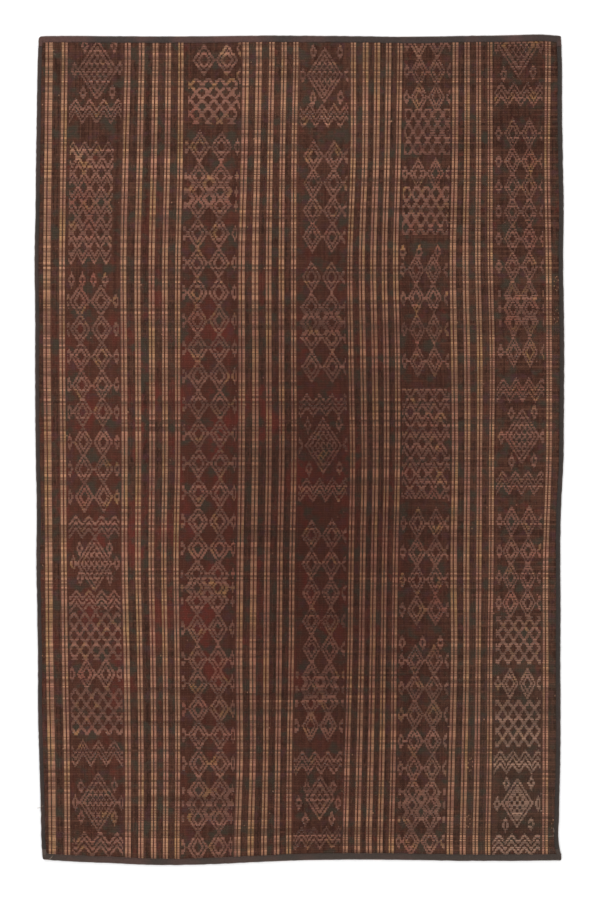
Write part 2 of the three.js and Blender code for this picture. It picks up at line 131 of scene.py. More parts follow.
# Figures, counted in thongs from the left edge and in rows of reeds from the top edge. Each line is a form
# with its places. A chain is a column of nested diamonds, two side by side, with a small diamond at each
# side: rows, the two columns at its first and at its last row, and the columns of the small ones. A trio is
# three low nested diamonds, given the same way. A medallion is a great diamond: column, row, half height. A
# lattice is crossed lines and a dense figure is diamonds set close: first and last row, first and last
# thong, column of one diamond, pitch across, row of one diamond, pitch along. A zigzag is three lines: first
# and last row, column of a peak, pitch. Small diamonds are single ones: column, row
FIGURES = {
    "first_band": (
        ("medallion", 40.4, 14.4, 13.2),
        ("small", ((24.1, 14.4), (56.5, 13.6), (31.3, 4.2), (52.2, 4.2), (30.5, 24.2), (51.5, 23.8))),
        ("zigzag", 26.3, 40, 25.2, 10.2),
        ("dense", 44, 98.5, 22, 53, 32.2, 8.6, 77.2, 6.35),
        ("small", ((24, 103.7), (32, 103.7), (40.2, 103.7), (48.7, 103.7))),
        ("chain", (112.6, 124.5, 136.2, 148.3, 159.7, 172.5, 184, 195.8), (29.9, 45.6), (32.6, 46.7),
         (21.8, 56.6)),
        ("zigzag", 203.3, 213.3, 26, 9.6),
        ("medallion", 39.7, 224.1, 12.2),
        ("small", ((28.7, 217.7), (51, 217.7), (24.1, 224), (56.3, 224), (29, 230), (51, 230))),
        ("zigzag", 234.9, 244.6, 26, 9.3),
        ("lattice", 244.5, 265, 21, 58, 40, 8, 254.6, 6.3),
        ("chain", (271,), (32.6, 46.7), (32.6, 46.7), (22, 56.6)),
        ("lattice", 277, 297, 21, 58, 40, 8, 287, 6.3),
        ("zigzag", 298.6, 312.7, 29, 11.4),
        ("medallion", 40, 325.4, 13),
        ("small", ((27.3, 318.7), (51.9, 318.2), (23, 325.6), (57, 325.6), (27.3, 331.8), (51.9, 331.8))),
        ("zigzag", 337.7, 347.8, 29.5, 12.2),
    ),
    "second_band": (
        ("chain", (10.2,), (116.5, 132.7), (116.5, 132.7), ()),
        ("small", ((141.9, 5.4), (141.9, 16.8), (141.9, 27.4))),
        ("lattice", 17.8, 37.6, 106, 140, 111.2, 8.4, 21, 6.1),
        ("chain", (47.2,), (114, 129.5), (114, 129.5), (104.5, 141)),
        ("trio", (59.6, 66.1, 72.2), (114, 129.5), (114, 129.5), (104.5, 141)),
        ("chain", (83.9, 96.4, 109, 120.9, 132.7, 144.4, 156.7, 168.9, 181.4, 194.1, 206.2, 217.6),
         (114, 129.5), (115.8, 131.2), (104.5, 141)),
        ("trio", (228.4, 234.3, 240.1), (115.2, 130.3), (115.2, 130.3), (104.5, 141)),
        ("chain", (251.7, 264.7, 274.7, 285.8, 296.9, 309), (115.2, 130.3), (115.8, 131.6), (104.5, 141)),
        ("trio", (320.3, 326.1, 332.1), (116, 131.9), (116, 131.9), (104.5, 141)),
        ("chain", (343.7,), (116, 131.9), (116, 131.9), (104.5, 141)),
    ),
    "middle_band": (
        ("medallion", 205.2, 16.7, 12),
        ("small", ((196.8, 6.8), (216.3, 6.9), (189.4, 16.8), (221.7, 16.5), (197, 26.5), (216.7, 26.1))),
        ("zigzag", 28.5, 40, 194.8, 8.7),
        ("chain", (51.1, 62.7, 74.1, 85.4), (198, 212.6), (198, 212.6), (221.7,)),
        ("chain", (102.5,), (197.6, 212.4), (197.6, 212.4), (221.7,)),
        ("trio", (115, 121.7, 128.5), (197.3, 212.4), (197.3, 212.4), (222,)),
        ("chain", (140.6,), (197.3, 212.4), (197.3, 212.4), (222,)),
        ("zigzag", 151.7, 160.6, 193.5, 9.2),
        ("medallion", 205.2, 174, 12.2),
        ("small", ((194, 165.3), (216.6, 164.8), (221.6, 173.6), (188.2, 174), (194.9, 183.8),
                   (216.6, 183.4))),
        ("zigzag", 187.3, 198.8, 193.5, 9.2),
        ("chain", (212.1, 224.3, 236.6, 248.4, 260.2), (197.6, 212), (198.6, 211.8), (221.7,)),
        ("trio", (271.4, 277.6, 283.4), (198.8, 211.8), (198.8, 211.8), (188.6, 221.7)),
        ("chain", (293,), (199, 211.8), (199, 211.8), (188.6, 221.7)),
        ("zigzag", 303.2, 314, 193.5, 9.2),
        ("medallion", 206.8, 323.6, 10),
        ("small", ((197, 319.3), (216.4, 318.9), (220.2, 325.8), (191.4, 325.8), (196.3, 333.3),
                   (215.7, 332.9))),
        ("zigzag", 336, 346.6, 193.5, 9.2),
    ),
    "fourth_band": (
        ("chain", (3, 14.9, 26.1), (273.6, 287.3), (274.3, 287), (264.6, 296.8)),
        ("lattice", 30.8, 50.6, 264, 297, 273.6, 7.2, 40.7, 7.2),
        ("chain", (58.5,), (274.2, 287), (274.2, 287), (264.6, 296.8)),
        ("lattice", 64, 84.5, 264, 297, 273.6, 7.2, 74.2, 7.2),
        ("small", ((276.6, 91.8), (290.1, 91.8), (264.6, 91.8))),
        ("chain", (99.4, 111.4, 124.6, 138.2), (274.2, 286.7), (274.2, 286.7), (264.6, 296.6)),
        ("dense", 149.5, 196.7, 263, 295, 268.4, 8.9, 172.8, 6.5),
        ("small", ((296.8, 155.5), (296.8, 167.7), (296.8, 181), (296.8, 194))),
        ("chain", (207, 219.2, 231, 243.7), (274.8, 288.2), (274.8, 288.2), (264.6, 296.8)),
        ("small", ((264.8, 257.7), (279.2, 257.7), (291.5, 257.7))),
        ("chain", (265.2, 276.9, 288.3, 299.5, 311), (274.1, 287.3), (274.1, 287.3), (264.6, 296.8)),
        ("trio", (320.9, 326.7, 332.9), (273.6, 286.9), (273.6, 286.9), (264.6, 296.6)),
        ("chain", (342.8,), (273.3, 286.7), (273.3, 286.7), (264.6, 296.6)),
    ),
    "fifth_band": (
        ("medallion", 348.8, 4.5, 13.6),
        ("small", ((364.7, 4.7), (332.9, 4.7), (338.3, 16.4), (359.4, 15.7))),
        ("zigzag", 19.5, 31.4, 336.4, 9.4),
        ("chain", (41.5, 53.2, 64.1, 74.8, 86.2, 98), (344.8, 357), (344.3, 356.4), (334.5, 366.4)),
        ("trio", (109.5, 115.8, 122), (344, 356), (344, 356), (334.5, 366.4)),
        ("chain", (134.2,), (343.9, 355.9), (343.9, 355.9), (334.5, 366.2)),
        ("zigzag", 144.9, 156.8, 336.4, 9.4),
        ("medallion", 350.3, 170, 12),
        ("small", ((342.4, 160.4), (359.2, 159.7), (335.3, 170.3), (365.5, 170), (342.9, 180.7),
                   (359.2, 180.3))),
        ("zigzag", 184.2, 197.1, 336.4, 9.4),
        ("chain", (206.2, 218.8, 230, 240.8), (343.4, 356.5), (343.4, 356.5), (334.5, 365.7)),
        ("lattice", 246.4, 267.2, 333, 366, 350, 8, 256.8, 6.3),
        ("chain", (275,), (343.4, 356.5), (343.4, 356.5), (334.5, 365.7)),
        ("lattice", 282, 302, 333, 366, 350, 8, 292, 6.3),
        ("zigzag", 302.9, 313.5, 336.4, 9.4),
        ("medallion", 349.5, 325.8, 11),
        ("small", ((341.4, 317.6), (359.7, 317.2), (334.6, 326.3), (365, 326), (341, 335.4), (359.7, 335))),
        ("zigzag", 339, 347.5, 336.4, 9.4),
    ),
}

# Faint diamonds in the plain ground, where single dots of reed show: column, row
FAINT = ((375.8, 105.3), (375.6, 119), (314.4, 309.5), (313.6, 333.7), (376.5, 336))

# Spots in the bands where the reeds are worn clean and orange: place across and along, and reach, in metres
WORN_SPOTS = ((-0.814, 1.086, 0.07, 0.06), (-0.263, 1.454, 0.04, 0.05), (0.096, 1.188, 0.025, 0.08),
              (0.434, 1.451, 0.04, 0.06))

# Rows where the thongs have drawn apart and the reeds show as a dotted line: row, first thong, last thong
OPEN_ROWS = ((55, 0, 378), (165, 60, 300), (230, 0, 378), (282, 103, 223), (298, 331, 367), (338, 0, 58))

# Parts of the mat that look their own way: place of the middle, and reach from it, both in metres
DRY_CORNER = ((0.85, -1.3), (0.55, 1.0))
HANDLED_MIDDLE = ((0.1, -0.3), (0.85, 1.75))
HANDLED_UPPER_RIGHT = ((0.75, 1.25), (0.7, 0.9))
RED_LEFT = ((-0.35, -0.15), (1.2, 1.6))

LONE_THONGS = [stripe[0] for stripe in STRIPES]


# Sizes and colours

def linear(hex_colour):
    """An sRGB hex colour as linear red, green and blue, with full alpha."""
    parts = [int(hex_colour[k:k + 2], 16) / 255 for k in (1, 3, 5)]
    return tuple(p / 12.92 if p <= 0.04045 else ((p + 0.055) / 1.055) ** 2.4 for p in parts) + (1.0,)


def length(name, description, default):
    return bpy.props.FloatProperty(name=name, description=description, default=default, min=0.0,
                                   subtype="DISTANCE", unit="LENGTH", precision=4)


def colour(name, description, hex_colour):
    return bpy.props.FloatVectorProperty(name=name, description=description, default=linear(hex_colour),
                                         size=4, min=0.0, max=1.0, subtype="COLOR")


class ReedMatSizes(bpy.types.PropertyGroup):
    reed_radius: length("Reed radius", "Half the thickness of one reed", 0.00135)
    reed_height: length("Reed height", "Height of the middle of the reeds over the floor", 0.0021)
    reed_spacing: length("Reed spacing", "From one reed to the next in the same row", 0.00275)
    reeds_in_row: bpy.props.IntProperty(
        name="Reeds in a row", description="How many reeds lie together between two dips of the thongs",
        default=3, min=1, max=5,
    )
    reed_rings: bpy.props.IntProperty(
        name="Reed rings", description="Rings of points along each reed", default=15, min=8, max=60
    )
    thong_crest: length("Thong crest", "Height of a thong where it lies over a row of reeds", 0.0043)
    thong_valley: length("Thong valley", "Height of a thong between two rows", 0.0035)
    thong_dip: length("Thong dip", "Height of a thong that ends half way over a row", 0.0039)
    thong_back: length("Thong back", "Height of a thong that runs under the reeds", 0.0004)
    end_binding_width: length("End binding width", "Width of the leather over the two short edges", 0.024)
    left_binding_width: length("Left binding width", "Width of the leather over the left edge", 0.015)
    right_binding_width: length("Right binding width", "Width of the leather over the right edge", 0.017)
    binding_thickness: length("Binding thickness", "Thickness of the mat over its bindings", 0.0072)
    binding_leather: length("Binding leather", "Thickness of the binding leather", 0.0012)
    stitch_pitch: length("Stitch pitch", "From one stitch of the bindings to the next", 0.012)
    stitch_length: length("Stitch length", "Length of one stitch", 0.0062)
    stitch_radius: length("Stitch radius", "Half the thickness of a stitch", 0.0005)
    thread_radius: length("Thread radius", "Half the thickness of a loose thread", 0.0006)


class ReedMatColours(bpy.types.PropertyGroup):
    reed_orange: colour("Orange reed", "Reeds where they are handled and worn clean", "#A77B60")
    reed_pink: colour("Pink reed", "Reeds stained by the dye of the leather", "#996757")
    reed_gold: colour("Golden reed", "Reeds of the stripes worn clean and yellow", "#AA8452")
    reed_pale: colour("Pale reed", "Dry reeds and scuffs", "#BE9366")
    reed_dry: colour("Dry reed", "Reeds gone dry and grey near one corner", "#9A8270")
    reed_figure: colour("Figure reed", "Reeds inside the figures, darkened between the thongs", "#7C5346")
    thong_dark: colour("Dark thong", "Thongs that kept their dye", "#301B12")
    thong_light: colour("Light thong", "Thongs worn lighter", "#533528")
    thong_figure: colour("Figure thong", "Thongs in the figured bands", "#4D281D")
    thong_hair: colour("Stripe thong", "The single thong inside a stripe, redder", "#4A2418")
    stain_red: colour("Red stain", "Old red dye in the leather", "#672A22")
    stain_olive: colour("Olive stain", "Greenish wear in the leather", "#3A3329")
    stain_plum: colour("Plum stain", "Purple-grey wear in the leather", "#4B2D2F")
    top_binding: colour("Top binding", "Leather over the top edge", "#372C28")
    bottom_binding: colour("Bottom binding", "Leather over the bottom edge", "#3A302A")
    side_binding: colour("Side binding", "Leather over the long edges", "#2E2723")
    binding_red: colour("Binding red", "Reddish patches of the bindings", "#543832")
    binding_worn: colour("Binding worn", "The rubbed fold of the bindings", "#6A5C55")
    figure_red: colour("Red figure reed", "Figure reeds stained by old red dye", "#8C493B")
    figure_gold: colour("Golden figure reed", "Figure reeds worn clean", "#A0763F")
    soil: colour("Soil", "Dark red-brown handling in the middle of the mat, over everything woven", "#BAA9A4")
    thread: colour("Thread", "Pale sewing fibre", "#A08C7C")
    floor: colour("Floor", "The plain floor", "#FCFCFC")


class ReedMatStage(bpy.types.PropertyGroup):
    floor_side: length("Floor side", "Side of the square floor", 14.0)
    lens: bpy.props.FloatProperty(
        name="Lens", description="Focal length of the camera, in millimetres", default=100.0, min=20.0
    )
    picture_height: length("Picture height", "Height of what the camera takes in at the floor", 3.285)
    sky_light: bpy.props.FloatProperty(
        name="Sky light", description="Strength of the even light from all round", default=1.12, min=0.0
    )
    window_light: bpy.props.FloatProperty(
        name="Window light", description="Power of the soft lamp over the top end", default=45.0, min=0.0,
        subtype="POWER", unit="POWER",
    )


# Places on the mat, all in mm

def curve_through(places, values):
    """A smooth reading between the rows of a table, which stays level beyond its ends."""
    places = np.asarray(places, float)
    values = np.asarray(values, float)
    slopes = np.gradient(values, places)

    def at(place):
        place = np.clip(place, places[0], places[-1])
        k = np.clip(np.searchsorted(places, place) - 1, 0, len(places) - 2)
        step = places[k + 1] - places[k]
        s = (place - places[k]) / step
        return (
            values[k] * (1 + 2 * s) * (1 - s) ** 2
            + slopes[k] * step * s * (1 - s) ** 2
            + values[k + 1] * s * s * (3 - 2 * s)
            + slopes[k + 1] * step * s * s * (s - 1)
        )

    return at


def column_of(table, column, moved=0.0):
    """One column of a table as a smooth reading, with all its values moved by this much."""
    return curve_through([row[0] for row in table], [row[column] + moved for row in table])


side_edge = {side: column_of(LONG_EDGES, k, OUTLINE_RIGHT) for k, side in enumerate(("left", "right"), 1)}
end_edge = {end: column_of(SHORT_EDGES, k, -OUTLINE_DOWN) for k, end in enumerate(("top", "bottom"), 1)}
thong_runs = [column_of(THONG_RUNS, k + 1) for k in range(len(RUN_THONGS))]
BEYOND = 20  # thongs that the runs are carried on past the outermost ones
KNOTS = np.array([RUN_THONGS[0] - BEYOND, *RUN_THONGS, RUN_THONGS[-1] + BEYOND], float)


def smoothstep(low, high, value):
    """A share that grows gently from 0 at low to 1 at high."""
    share = np.clip((value - low) / (high - low), 0, 1)
    return share * share * (3 - 2 * share)


def runs_at(along):
    """Where the thongs of KNOTS lie, one row of numbers for each."""
    runs = [run(along) for run in thong_runs]
    return np.stack([runs[0] - BEYOND * THONG_PITCH, *runs, runs[-1] + BEYOND * THONG_PITCH])


def across_of_thong(place, along):
    """Where a place counted in thongs lies across the mat."""
    place = np.asarray(place, float)
    middle = place - 0.5 + np.interp(place, *zip(*STRIPE_SHIFTS))
    runs = runs_at(along)
    k = np.clip(np.searchsorted(KNOTS, middle) - 1, 0, len(KNOTS) - 2)
    share = (middle - KNOTS[k]) / (KNOTS[k + 1] - KNOTS[k])
    at = np.arange(middle.size)
    return runs[k, at] * (1 - share) + runs[k + 1, at] * share


def thong_at(across, along):
    """The place counted in thongs at a point of the mat."""
    runs = runs_at(along)
    k = np.clip((runs < across).sum(0) - 1, 0, len(KNOTS) - 2)
    at = np.arange(across.size)
    share = (across - runs[k, at]) / (runs[k + 1, at] - runs[k, at])
    return KNOTS[k] + share * (KNOTS[k + 1] - KNOTS[k]) + 0.5


def along_of_row(row, across):
    """Where a row of reeds lies along the mat. The rows near an end follow its crooked edge."""
    top = smoothstep(END_ROWS, 0, row) * (end_edge["top"](across) - FIRST_ROW_EDGE)
    bottom = smoothstep(ROWS - END_ROWS, ROWS, row) * (end_edge["bottom"](across) - LAST_ROW_EDGE)
    return FIRST_ROW_EDGE - ROW_PITCH * row + top + bottom


LIFT = 1.5  # mm that the weave rises onto the leather folded under its edges
LIFT_BEGINS = 85  # mm from the edge
LIFT_ENDS = 26


def lift(across, along):
    """How far the weave is lifted off the floor by the leather under its edges."""
    to_edge = np.minimum.reduce([
        across - side_edge["left"](along),
        side_edge["right"](along) - across,
        end_edge["top"](across) - along,
        along - end_edge["bottom"](across),
    ])
    return LIFT * np.clip((LIFT_BEGINS - to_edge) / (LIFT_BEGINS - LIFT_ENDS), 0, 1)


def corner_inset(distance, radius):
    """How far a rounded corner draws an edge in, at a distance from the corner."""
    left = np.clip(radius - distance, 0, radius)
    return radius - np.sqrt(np.maximum(radius ** 2 - left ** 2, 0))


WEAVE_CORNER = 12  # mm, how round the corners of the weave are, under the bindings
THONG_MARGIN = 5  # mm between the mat's long edges and the outermost place of a thong
THONG_END_MARGIN = 4  # and at the short edges
REED_MARGIN = 3.5  # between the long edges and the ends of the reeds


def kept_in(across, along):
    """Points drawn in from the mat's outline, so that the bindings and their round corners cover them."""
    top, bottom = end_edge["top"](across), end_edge["bottom"](across)
    along = np.clip(along, bottom + THONG_END_MARGIN, top - THONG_END_MARGIN)
    margin = THONG_MARGIN + corner_inset(np.minimum(top - along, along - bottom), WEAVE_CORNER)
    return np.clip(across, side_edge["left"](along) + margin, side_edge["right"](along) - margin), along


# The chart of the weave: true where a cell of one thong by half a row shows bare reed. Every form takes the
# thong s and the row r of all cells. The reach of a cell is how far out it lies from the middle of a diamond

def in_rings(reach, *rings):
    """True where the reach lies between the two numbers of one of these rings."""
    return np.logical_or.reduce([(reach >= low) & (reach < high) for low, high in rings])


def small_diamond(s, r, column, row):
    return in_rings(1.3 * np.abs(s - column) + np.abs(r - row), (1.4, 3.6))


def form_small(s, r, places):
    return np.logical_or.reduce([small_diamond(s, r, *place) for place in places])


def form_medallion(s, r, column, row, half):
    """A great diamond of two lines, filled with crossed ones."""
    inner, filling_pitch, filling_line = half - 4.3, 3.6, 0.55
    aside = 0.9 * (s - column)
    reach = np.abs(aside) + np.abs(r - row)
    crossed = np.minimum(*(np.abs((aside + way * (r - row)) % filling_pitch - filling_pitch / 2)
                           for way in (1, -1)))
    lines = in_rings(reach, (half - 1.6, half), (inner, half - 2.7))
    return lines | (reach < inner) & (crossed < filling_line)


def nested(s, r, rows, first, last, half_height):
    """For a column of diamonds two abreast: the row of the nearest, its two columns, half their spacing, and
    the reach of each cell, which is one at the rim of the diamond."""
    rows = np.asarray(rows, float)
    row = rows[np.abs(r[..., None] - rows).argmin(-1)]
    span = max(rows[-1] - rows[0], 1)
    left = first[0] + (last[0] - first[0]) * (row - rows[0]) / span
    right = first[1] + (last[1] - first[1]) * (row - rows[0]) / span
    half_width = (right - left) / 2
    aside = np.minimum(np.abs(s - left), np.abs(s - right))
    return row, left, right, half_width, aside / half_width + np.abs(r - row) / half_height


def form_chain(s, r, rows, first, last, sides):
    """Diamonds one in the other, two abreast, with small diamonds at their sides."""
    row, left, right, half_width, reach = nested(s, r, rows, first, last, 6.9)
    lit = in_rings(reach, (0.76, 1.02), (0.36, 0.62))
    for side in sides:
        outside = np.where(side < left, s < left - half_width, s > right + half_width)
        lit |= small_diamond(s, r, side, row) & outside
    return lit


def form_trio(s, r, rows, first, last, sides):
    """Low nested diamonds that run into each other, with dark places left between them."""
    row, *_, reach = nested(s, r, rows, first, last, 6.2)
    rim = np.where((r > rows[0]) & (r < rows[-1]), 1.2, 1.02)
    lit = in_rings(reach, (0.76, rim), (0.36, 0.63))
    for side in sides:
        lit |= 1.4 * np.abs(s - side) + np.abs(r - row) < 2.2
    return lit


def inside(s, r, first_row, last_row, first, last):
    return (r >= first_row) & (r <= last_row) & (s >= first) & (s <= last)


def form_dense(s, r, first_row, last_row, first, last, column, pitch, row, step):
    """Rows of diamonds set between each other, with pointed ends and one more line round the outermost."""
    point = 3.8  # rows from the middle of an outermost diamond to the end of the figure
    reach = np.full(s.shape, np.inf)
    first_step = math.ceil((first_row + point - row) / step)
    last_step = math.floor((last_row - point - row) / step)
    for k in range(first_step, last_step + 1):
        aside = (s - column - (k % 2) * pitch / 2 + pitch / 2) % pitch - pitch / 2
        reach = np.minimum(reach, np.abs(aside) + np.abs(r - row - k * step))
    return inside(s, r, first_row, last_row, first, last) & in_rings(reach, (2.7, 4.8), (6, 7.5))


def form_lattice(s, r, first_row, last_row, first, last, column, pitch, row, step):
    """Crossed slanting lines, half way between the middles of the diamonds."""
    u = (s - column) / pitch
    v = (r - row) / step
    reach = np.abs(u - np.round(u)) + np.abs(v - np.round(v))
    return inside(s, r, first_row, last_row, first, last) & (np.abs(reach - 0.5) < 0.16)


def form_zigzag(s, r, first_row, last_row, peak, pitch):
    """Three zigzag lines, each as thick as one row and a half and no steeper than a row to a thong, so that
    they hold together."""
    line, gap = 1.5, 2.6
    swing = np.abs((s - peak + pitch / 2) % pitch - pitch / 2)
    slope = min(max((last_row - first_row - line - 2 * gap) / (pitch / 2), 0.75), 0.92)
    tops = [np.round(2 * (first_row + k * gap + slope * swing)) / 2 for k in range(3)]
    return np.logical_or.reduce([(r > top) & (r < top + line) for top in tops])


FORMS = {
    "small": form_small, "medallion": form_medallion, "chain": form_chain, "trio": form_trio,
    "dense": form_dense, "lattice": form_lattice, "zigzag": form_zigzag,
}


def zone_ends():
    """Name, first thong, thong after the last, and whether it is figured, for each zone."""
    firsts = [zone[1] for zone in ZONES] + [THONGS]
    return [(name, first, firsts[k + 1], figured) for k, (name, first, figured) in enumerate(ZONES)]


SKIPPED = 0.015  # share of a figure's cells where the thong still lies over the reeds
FLECKS = 0.0008  # share of the other cells where a reed shows


def chart_of_weave():
    rng = np.random.default_rng(11)
    s, r = np.meshgrid(np.arange(THONGS, dtype=float), np.arange(2 * ROWS) / 2 + 0.25)
    stripes = np.zeros(s.shape, bool)
    for thong, left, right, _, _ in STRIPES:
        stripes |= (s >= thong - left) & (s <= thong + right) & (s != thong)
    figures = np.zeros(s.shape, bool)
    for name, first, end, figured in zone_ends():
        if figured:
            within = (s >= first + 0.5) & (s <= end - 1.5)
            lit = np.logical_or.reduce([FORMS[form](s, r, *places) for form, *places in FIGURES[name]])
            figures |= within & lit
    for column, row in FAINT:
        reach = 1.4 * np.abs(s - column) + np.abs(r - row)
        figures |= (np.abs(reach - 3.2) < 0.5) & (np.mod(np.floor(2 * r) + s, 2) == 0)
    skipped = rng.random(s.shape) < SKIPPED
    flecks = rng.random(s.shape) < FLECKS
    return stripes | (figures & ~skipped) | (flecks & ~np.isin(s, LONE_THONGS))


# Meshes and nodes

def turn_outwards(mesh):
    shell = bmesh.new()
    shell.from_mesh(mesh)
    bmesh.ops.recalc_face_normals(shell, faces=shell.faces)
    shell.to_mesh(mesh)
    shell.free()


def new_piece(name, points, faces, material, values=None, uv=None, closed=False):
    """A mesh object in the scene from points in mm, with point values and corner UVs where given. The faces
    of a closed piece are turned outwards."""
    mesh = bpy.data.meshes.new(name)
    mesh.from_pydata((np.asarray(points) * MM).tolist(), [], faces)
    for value_name, numbers in (values or {}).items():
        attribute = mesh.attributes.new(value_name, "FLOAT", "POINT")
        attribute.data.foreach_set("value", np.asarray(numbers, np.float32))
    if uv is not None:
        layer = mesh.uv_layers.new(name="OFBake")
        layer.data.foreach_set("uv", np.asarray(uv, np.float32).ravel())
    mesh.materials.append(material)
    if closed:
        turn_outwards(mesh)
    mesh.shade_smooth()
    mesh.update()
    piece = bpy.data.objects.new(name, mesh)
    bpy.context.scene.collection.objects.link(piece)
    return piece


def ring_faces(rings, sides):
    """Faces of a closed shell made of rings of points, with its two ends shut."""
    a = np.arange(sides)
    b = (a + 1) % sides
    ring = np.arange(rings - 1)[:, None] * sides
    faces = np.stack([ring + a, ring + b, ring + sides + b, ring + sides + a], -1).reshape(-1, 4).tolist()
    return faces + [a[::-1].tolist(), ((rings - 1) * sides + a).tolist()]


def joined(shells):
    """The points and faces of several shells as one array and one list."""
    faces = []
    count = 0
    for points, shell_faces in shells:
        faces += [[count + corner for corner in face] for face in shell_faces]
        count += len(points)
    return np.concatenate([points for points, _ in shells]), faces


def add_node(tree, kind, links=None, **settings):
    """One node with its settings, each input set to a value or linked to another node or socket."""
    made = tree.nodes.new(kind)
    for name, value in settings.items():
        setattr(made, name, value)
    for name, value in (links or {}).items():
        socket = next(i for i in made.inputs if i.enabled and name in (i.name, i.identifier))
        if isinstance(value, bpy.types.Node):
            value = next(o for o in value.outputs if o.enabled)
        if isinstance(value, bpy.types.NodeSocket):
            tree.links.new(value, socket)
        else:
            socket.default_value = value
    return made


def new_material(name):
    material = bpy.data.materials.new(name)
    material.use_nodes = True
    tree = material.node_tree
    tree.nodes.clear()
    return material, tree


def place_in(piece, slot_name, nodes=()):
    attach(piece, "root")
    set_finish(piece, slot_name)
    if nodes:
        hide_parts(*nodes)


def grown(name, tree, inputs, start=None):
    """A plain mesh object from what a Geometry Nodes tree makes of the start mesh."""
    piece = bpy.data.objects.new(name, start or bpy.data.meshes.new(name))
    bpy.context.scene.collection.objects.link(piece)
    modifier = piece.modifiers.new("Grown", "NODES")
    modifier.node_group = tree
    for item in tree.interface.items_tree:
        if item.item_type == "SOCKET" and item.in_out == "INPUT" and item.name in inputs:
            modifier[item.identifier] = inputs[item.name]
    depsgraph = bpy.context.evaluated_depsgraph_get()
    mesh = bpy.data.meshes.new_from_object(
        piece.evaluated_get(depsgraph), preserve_all_data_layers=True, depsgraph=depsgraph
    )
    piece.modifiers.remove(modifier)
    piece.data = mesh
    mesh.name = name
    return piece


def new_geometry_tree(name, inputs):
    tree = bpy.data.node_groups.new(name, "GeometryNodeTree")
    tree.interface.new_socket("Geometry", in_out="INPUT", socket_type="NodeSocketGeometry")
    tree.interface.new_socket("Geometry", in_out="OUTPUT", socket_type="NodeSocketGeometry")
    for input_name, kind in inputs.items():
        tree.interface.new_socket(input_name, in_out="INPUT", socket_type=kind)
    return tree, add_node(tree, "NodeGroupInput"), add_node(tree, "NodeGroupOutput")


# Materials

def covered(tree, under, *coats):
    """A colour with others laid over it in turn, each as far as the share given with it."""
    for share, coat in coats:
        under = add_node(tree, "ShaderNodeMix", {"Factor": share, "A": under, "B": coat}, data_type="RGBA")
    return under


def stained(tree, position, under, *stains):
    """A colour with stains laid over it in turn: each has its colour, how fine it is across and along the mat
    in patches to the metre, the noise value where it begins, and how strong it gets."""
    for stain, across, along, begin, most in stains:
        stretched = add_node(tree, "ShaderNodeVectorMath",
                             {"Vector": position, "Vector_001": (across, along, 1)}, operation="MULTIPLY")
        patches = add_node(tree, "ShaderNodeTexNoise",
                           {"Vector": stretched, "Scale": 1.0, "Detail": 5.0, "Roughness": 0.62})
        share = add_node(tree, "ShaderNodeMapRange",
                         {"Value": patches, "From Min": begin, "From Max": begin + 0.12, "To Max": most})
        under = covered(tree, under, (share, stain))
    return under


def around(tree, position, centre, reach):
    """A soft share that is one at a centre and fades to nothing at this reach from it, both in metres."""
    scale = (1 / reach[0], 1 / reach[1], 0.0)
    place = add_node(tree, "ShaderNodeMapping",
                     {"Vector": position, "Location": (-centre[0] * scale[0], -centre[1] * scale[1], 0.0),
                      "Scale": scale})
    nearness = add_node(tree, "ShaderNodeTexGradient", {"Vector": place}, gradient_type="SPHERICAL")
    return add_node(tree, "ShaderNodeMapRange", {"Value": nearness.outputs["Fac"]},
                    interpolation_type="SMOOTHSTEP")


def handled(tree, position, clean, colours, strength):
    """The colour darkened near the mat's middle, and a little at its upper right."""
    upper = add_node(tree, "ShaderNodeMath",
                     {"Value": around(tree, position, *HANDLED_UPPER_RIGHT), "Value_001": 0.3},
                     operation="MULTIPLY")
    nearest = add_node(tree, "ShaderNodeMath",
                       {"Value": around(tree, position, *HANDLED_MIDDLE), "Value_001": upper},
                       operation="MAXIMUM")
    soil_share = add_node(tree, "ShaderNodeMath", {"Value": nearest, "Value_001": strength},
                          operation="MULTIPLY")
    return add_node(tree, "ShaderNodeMix", {"Factor": soil_share, "A": clean, "B": colours.soil},
                    data_type="RGBA", blend_type="MULTIPLY")


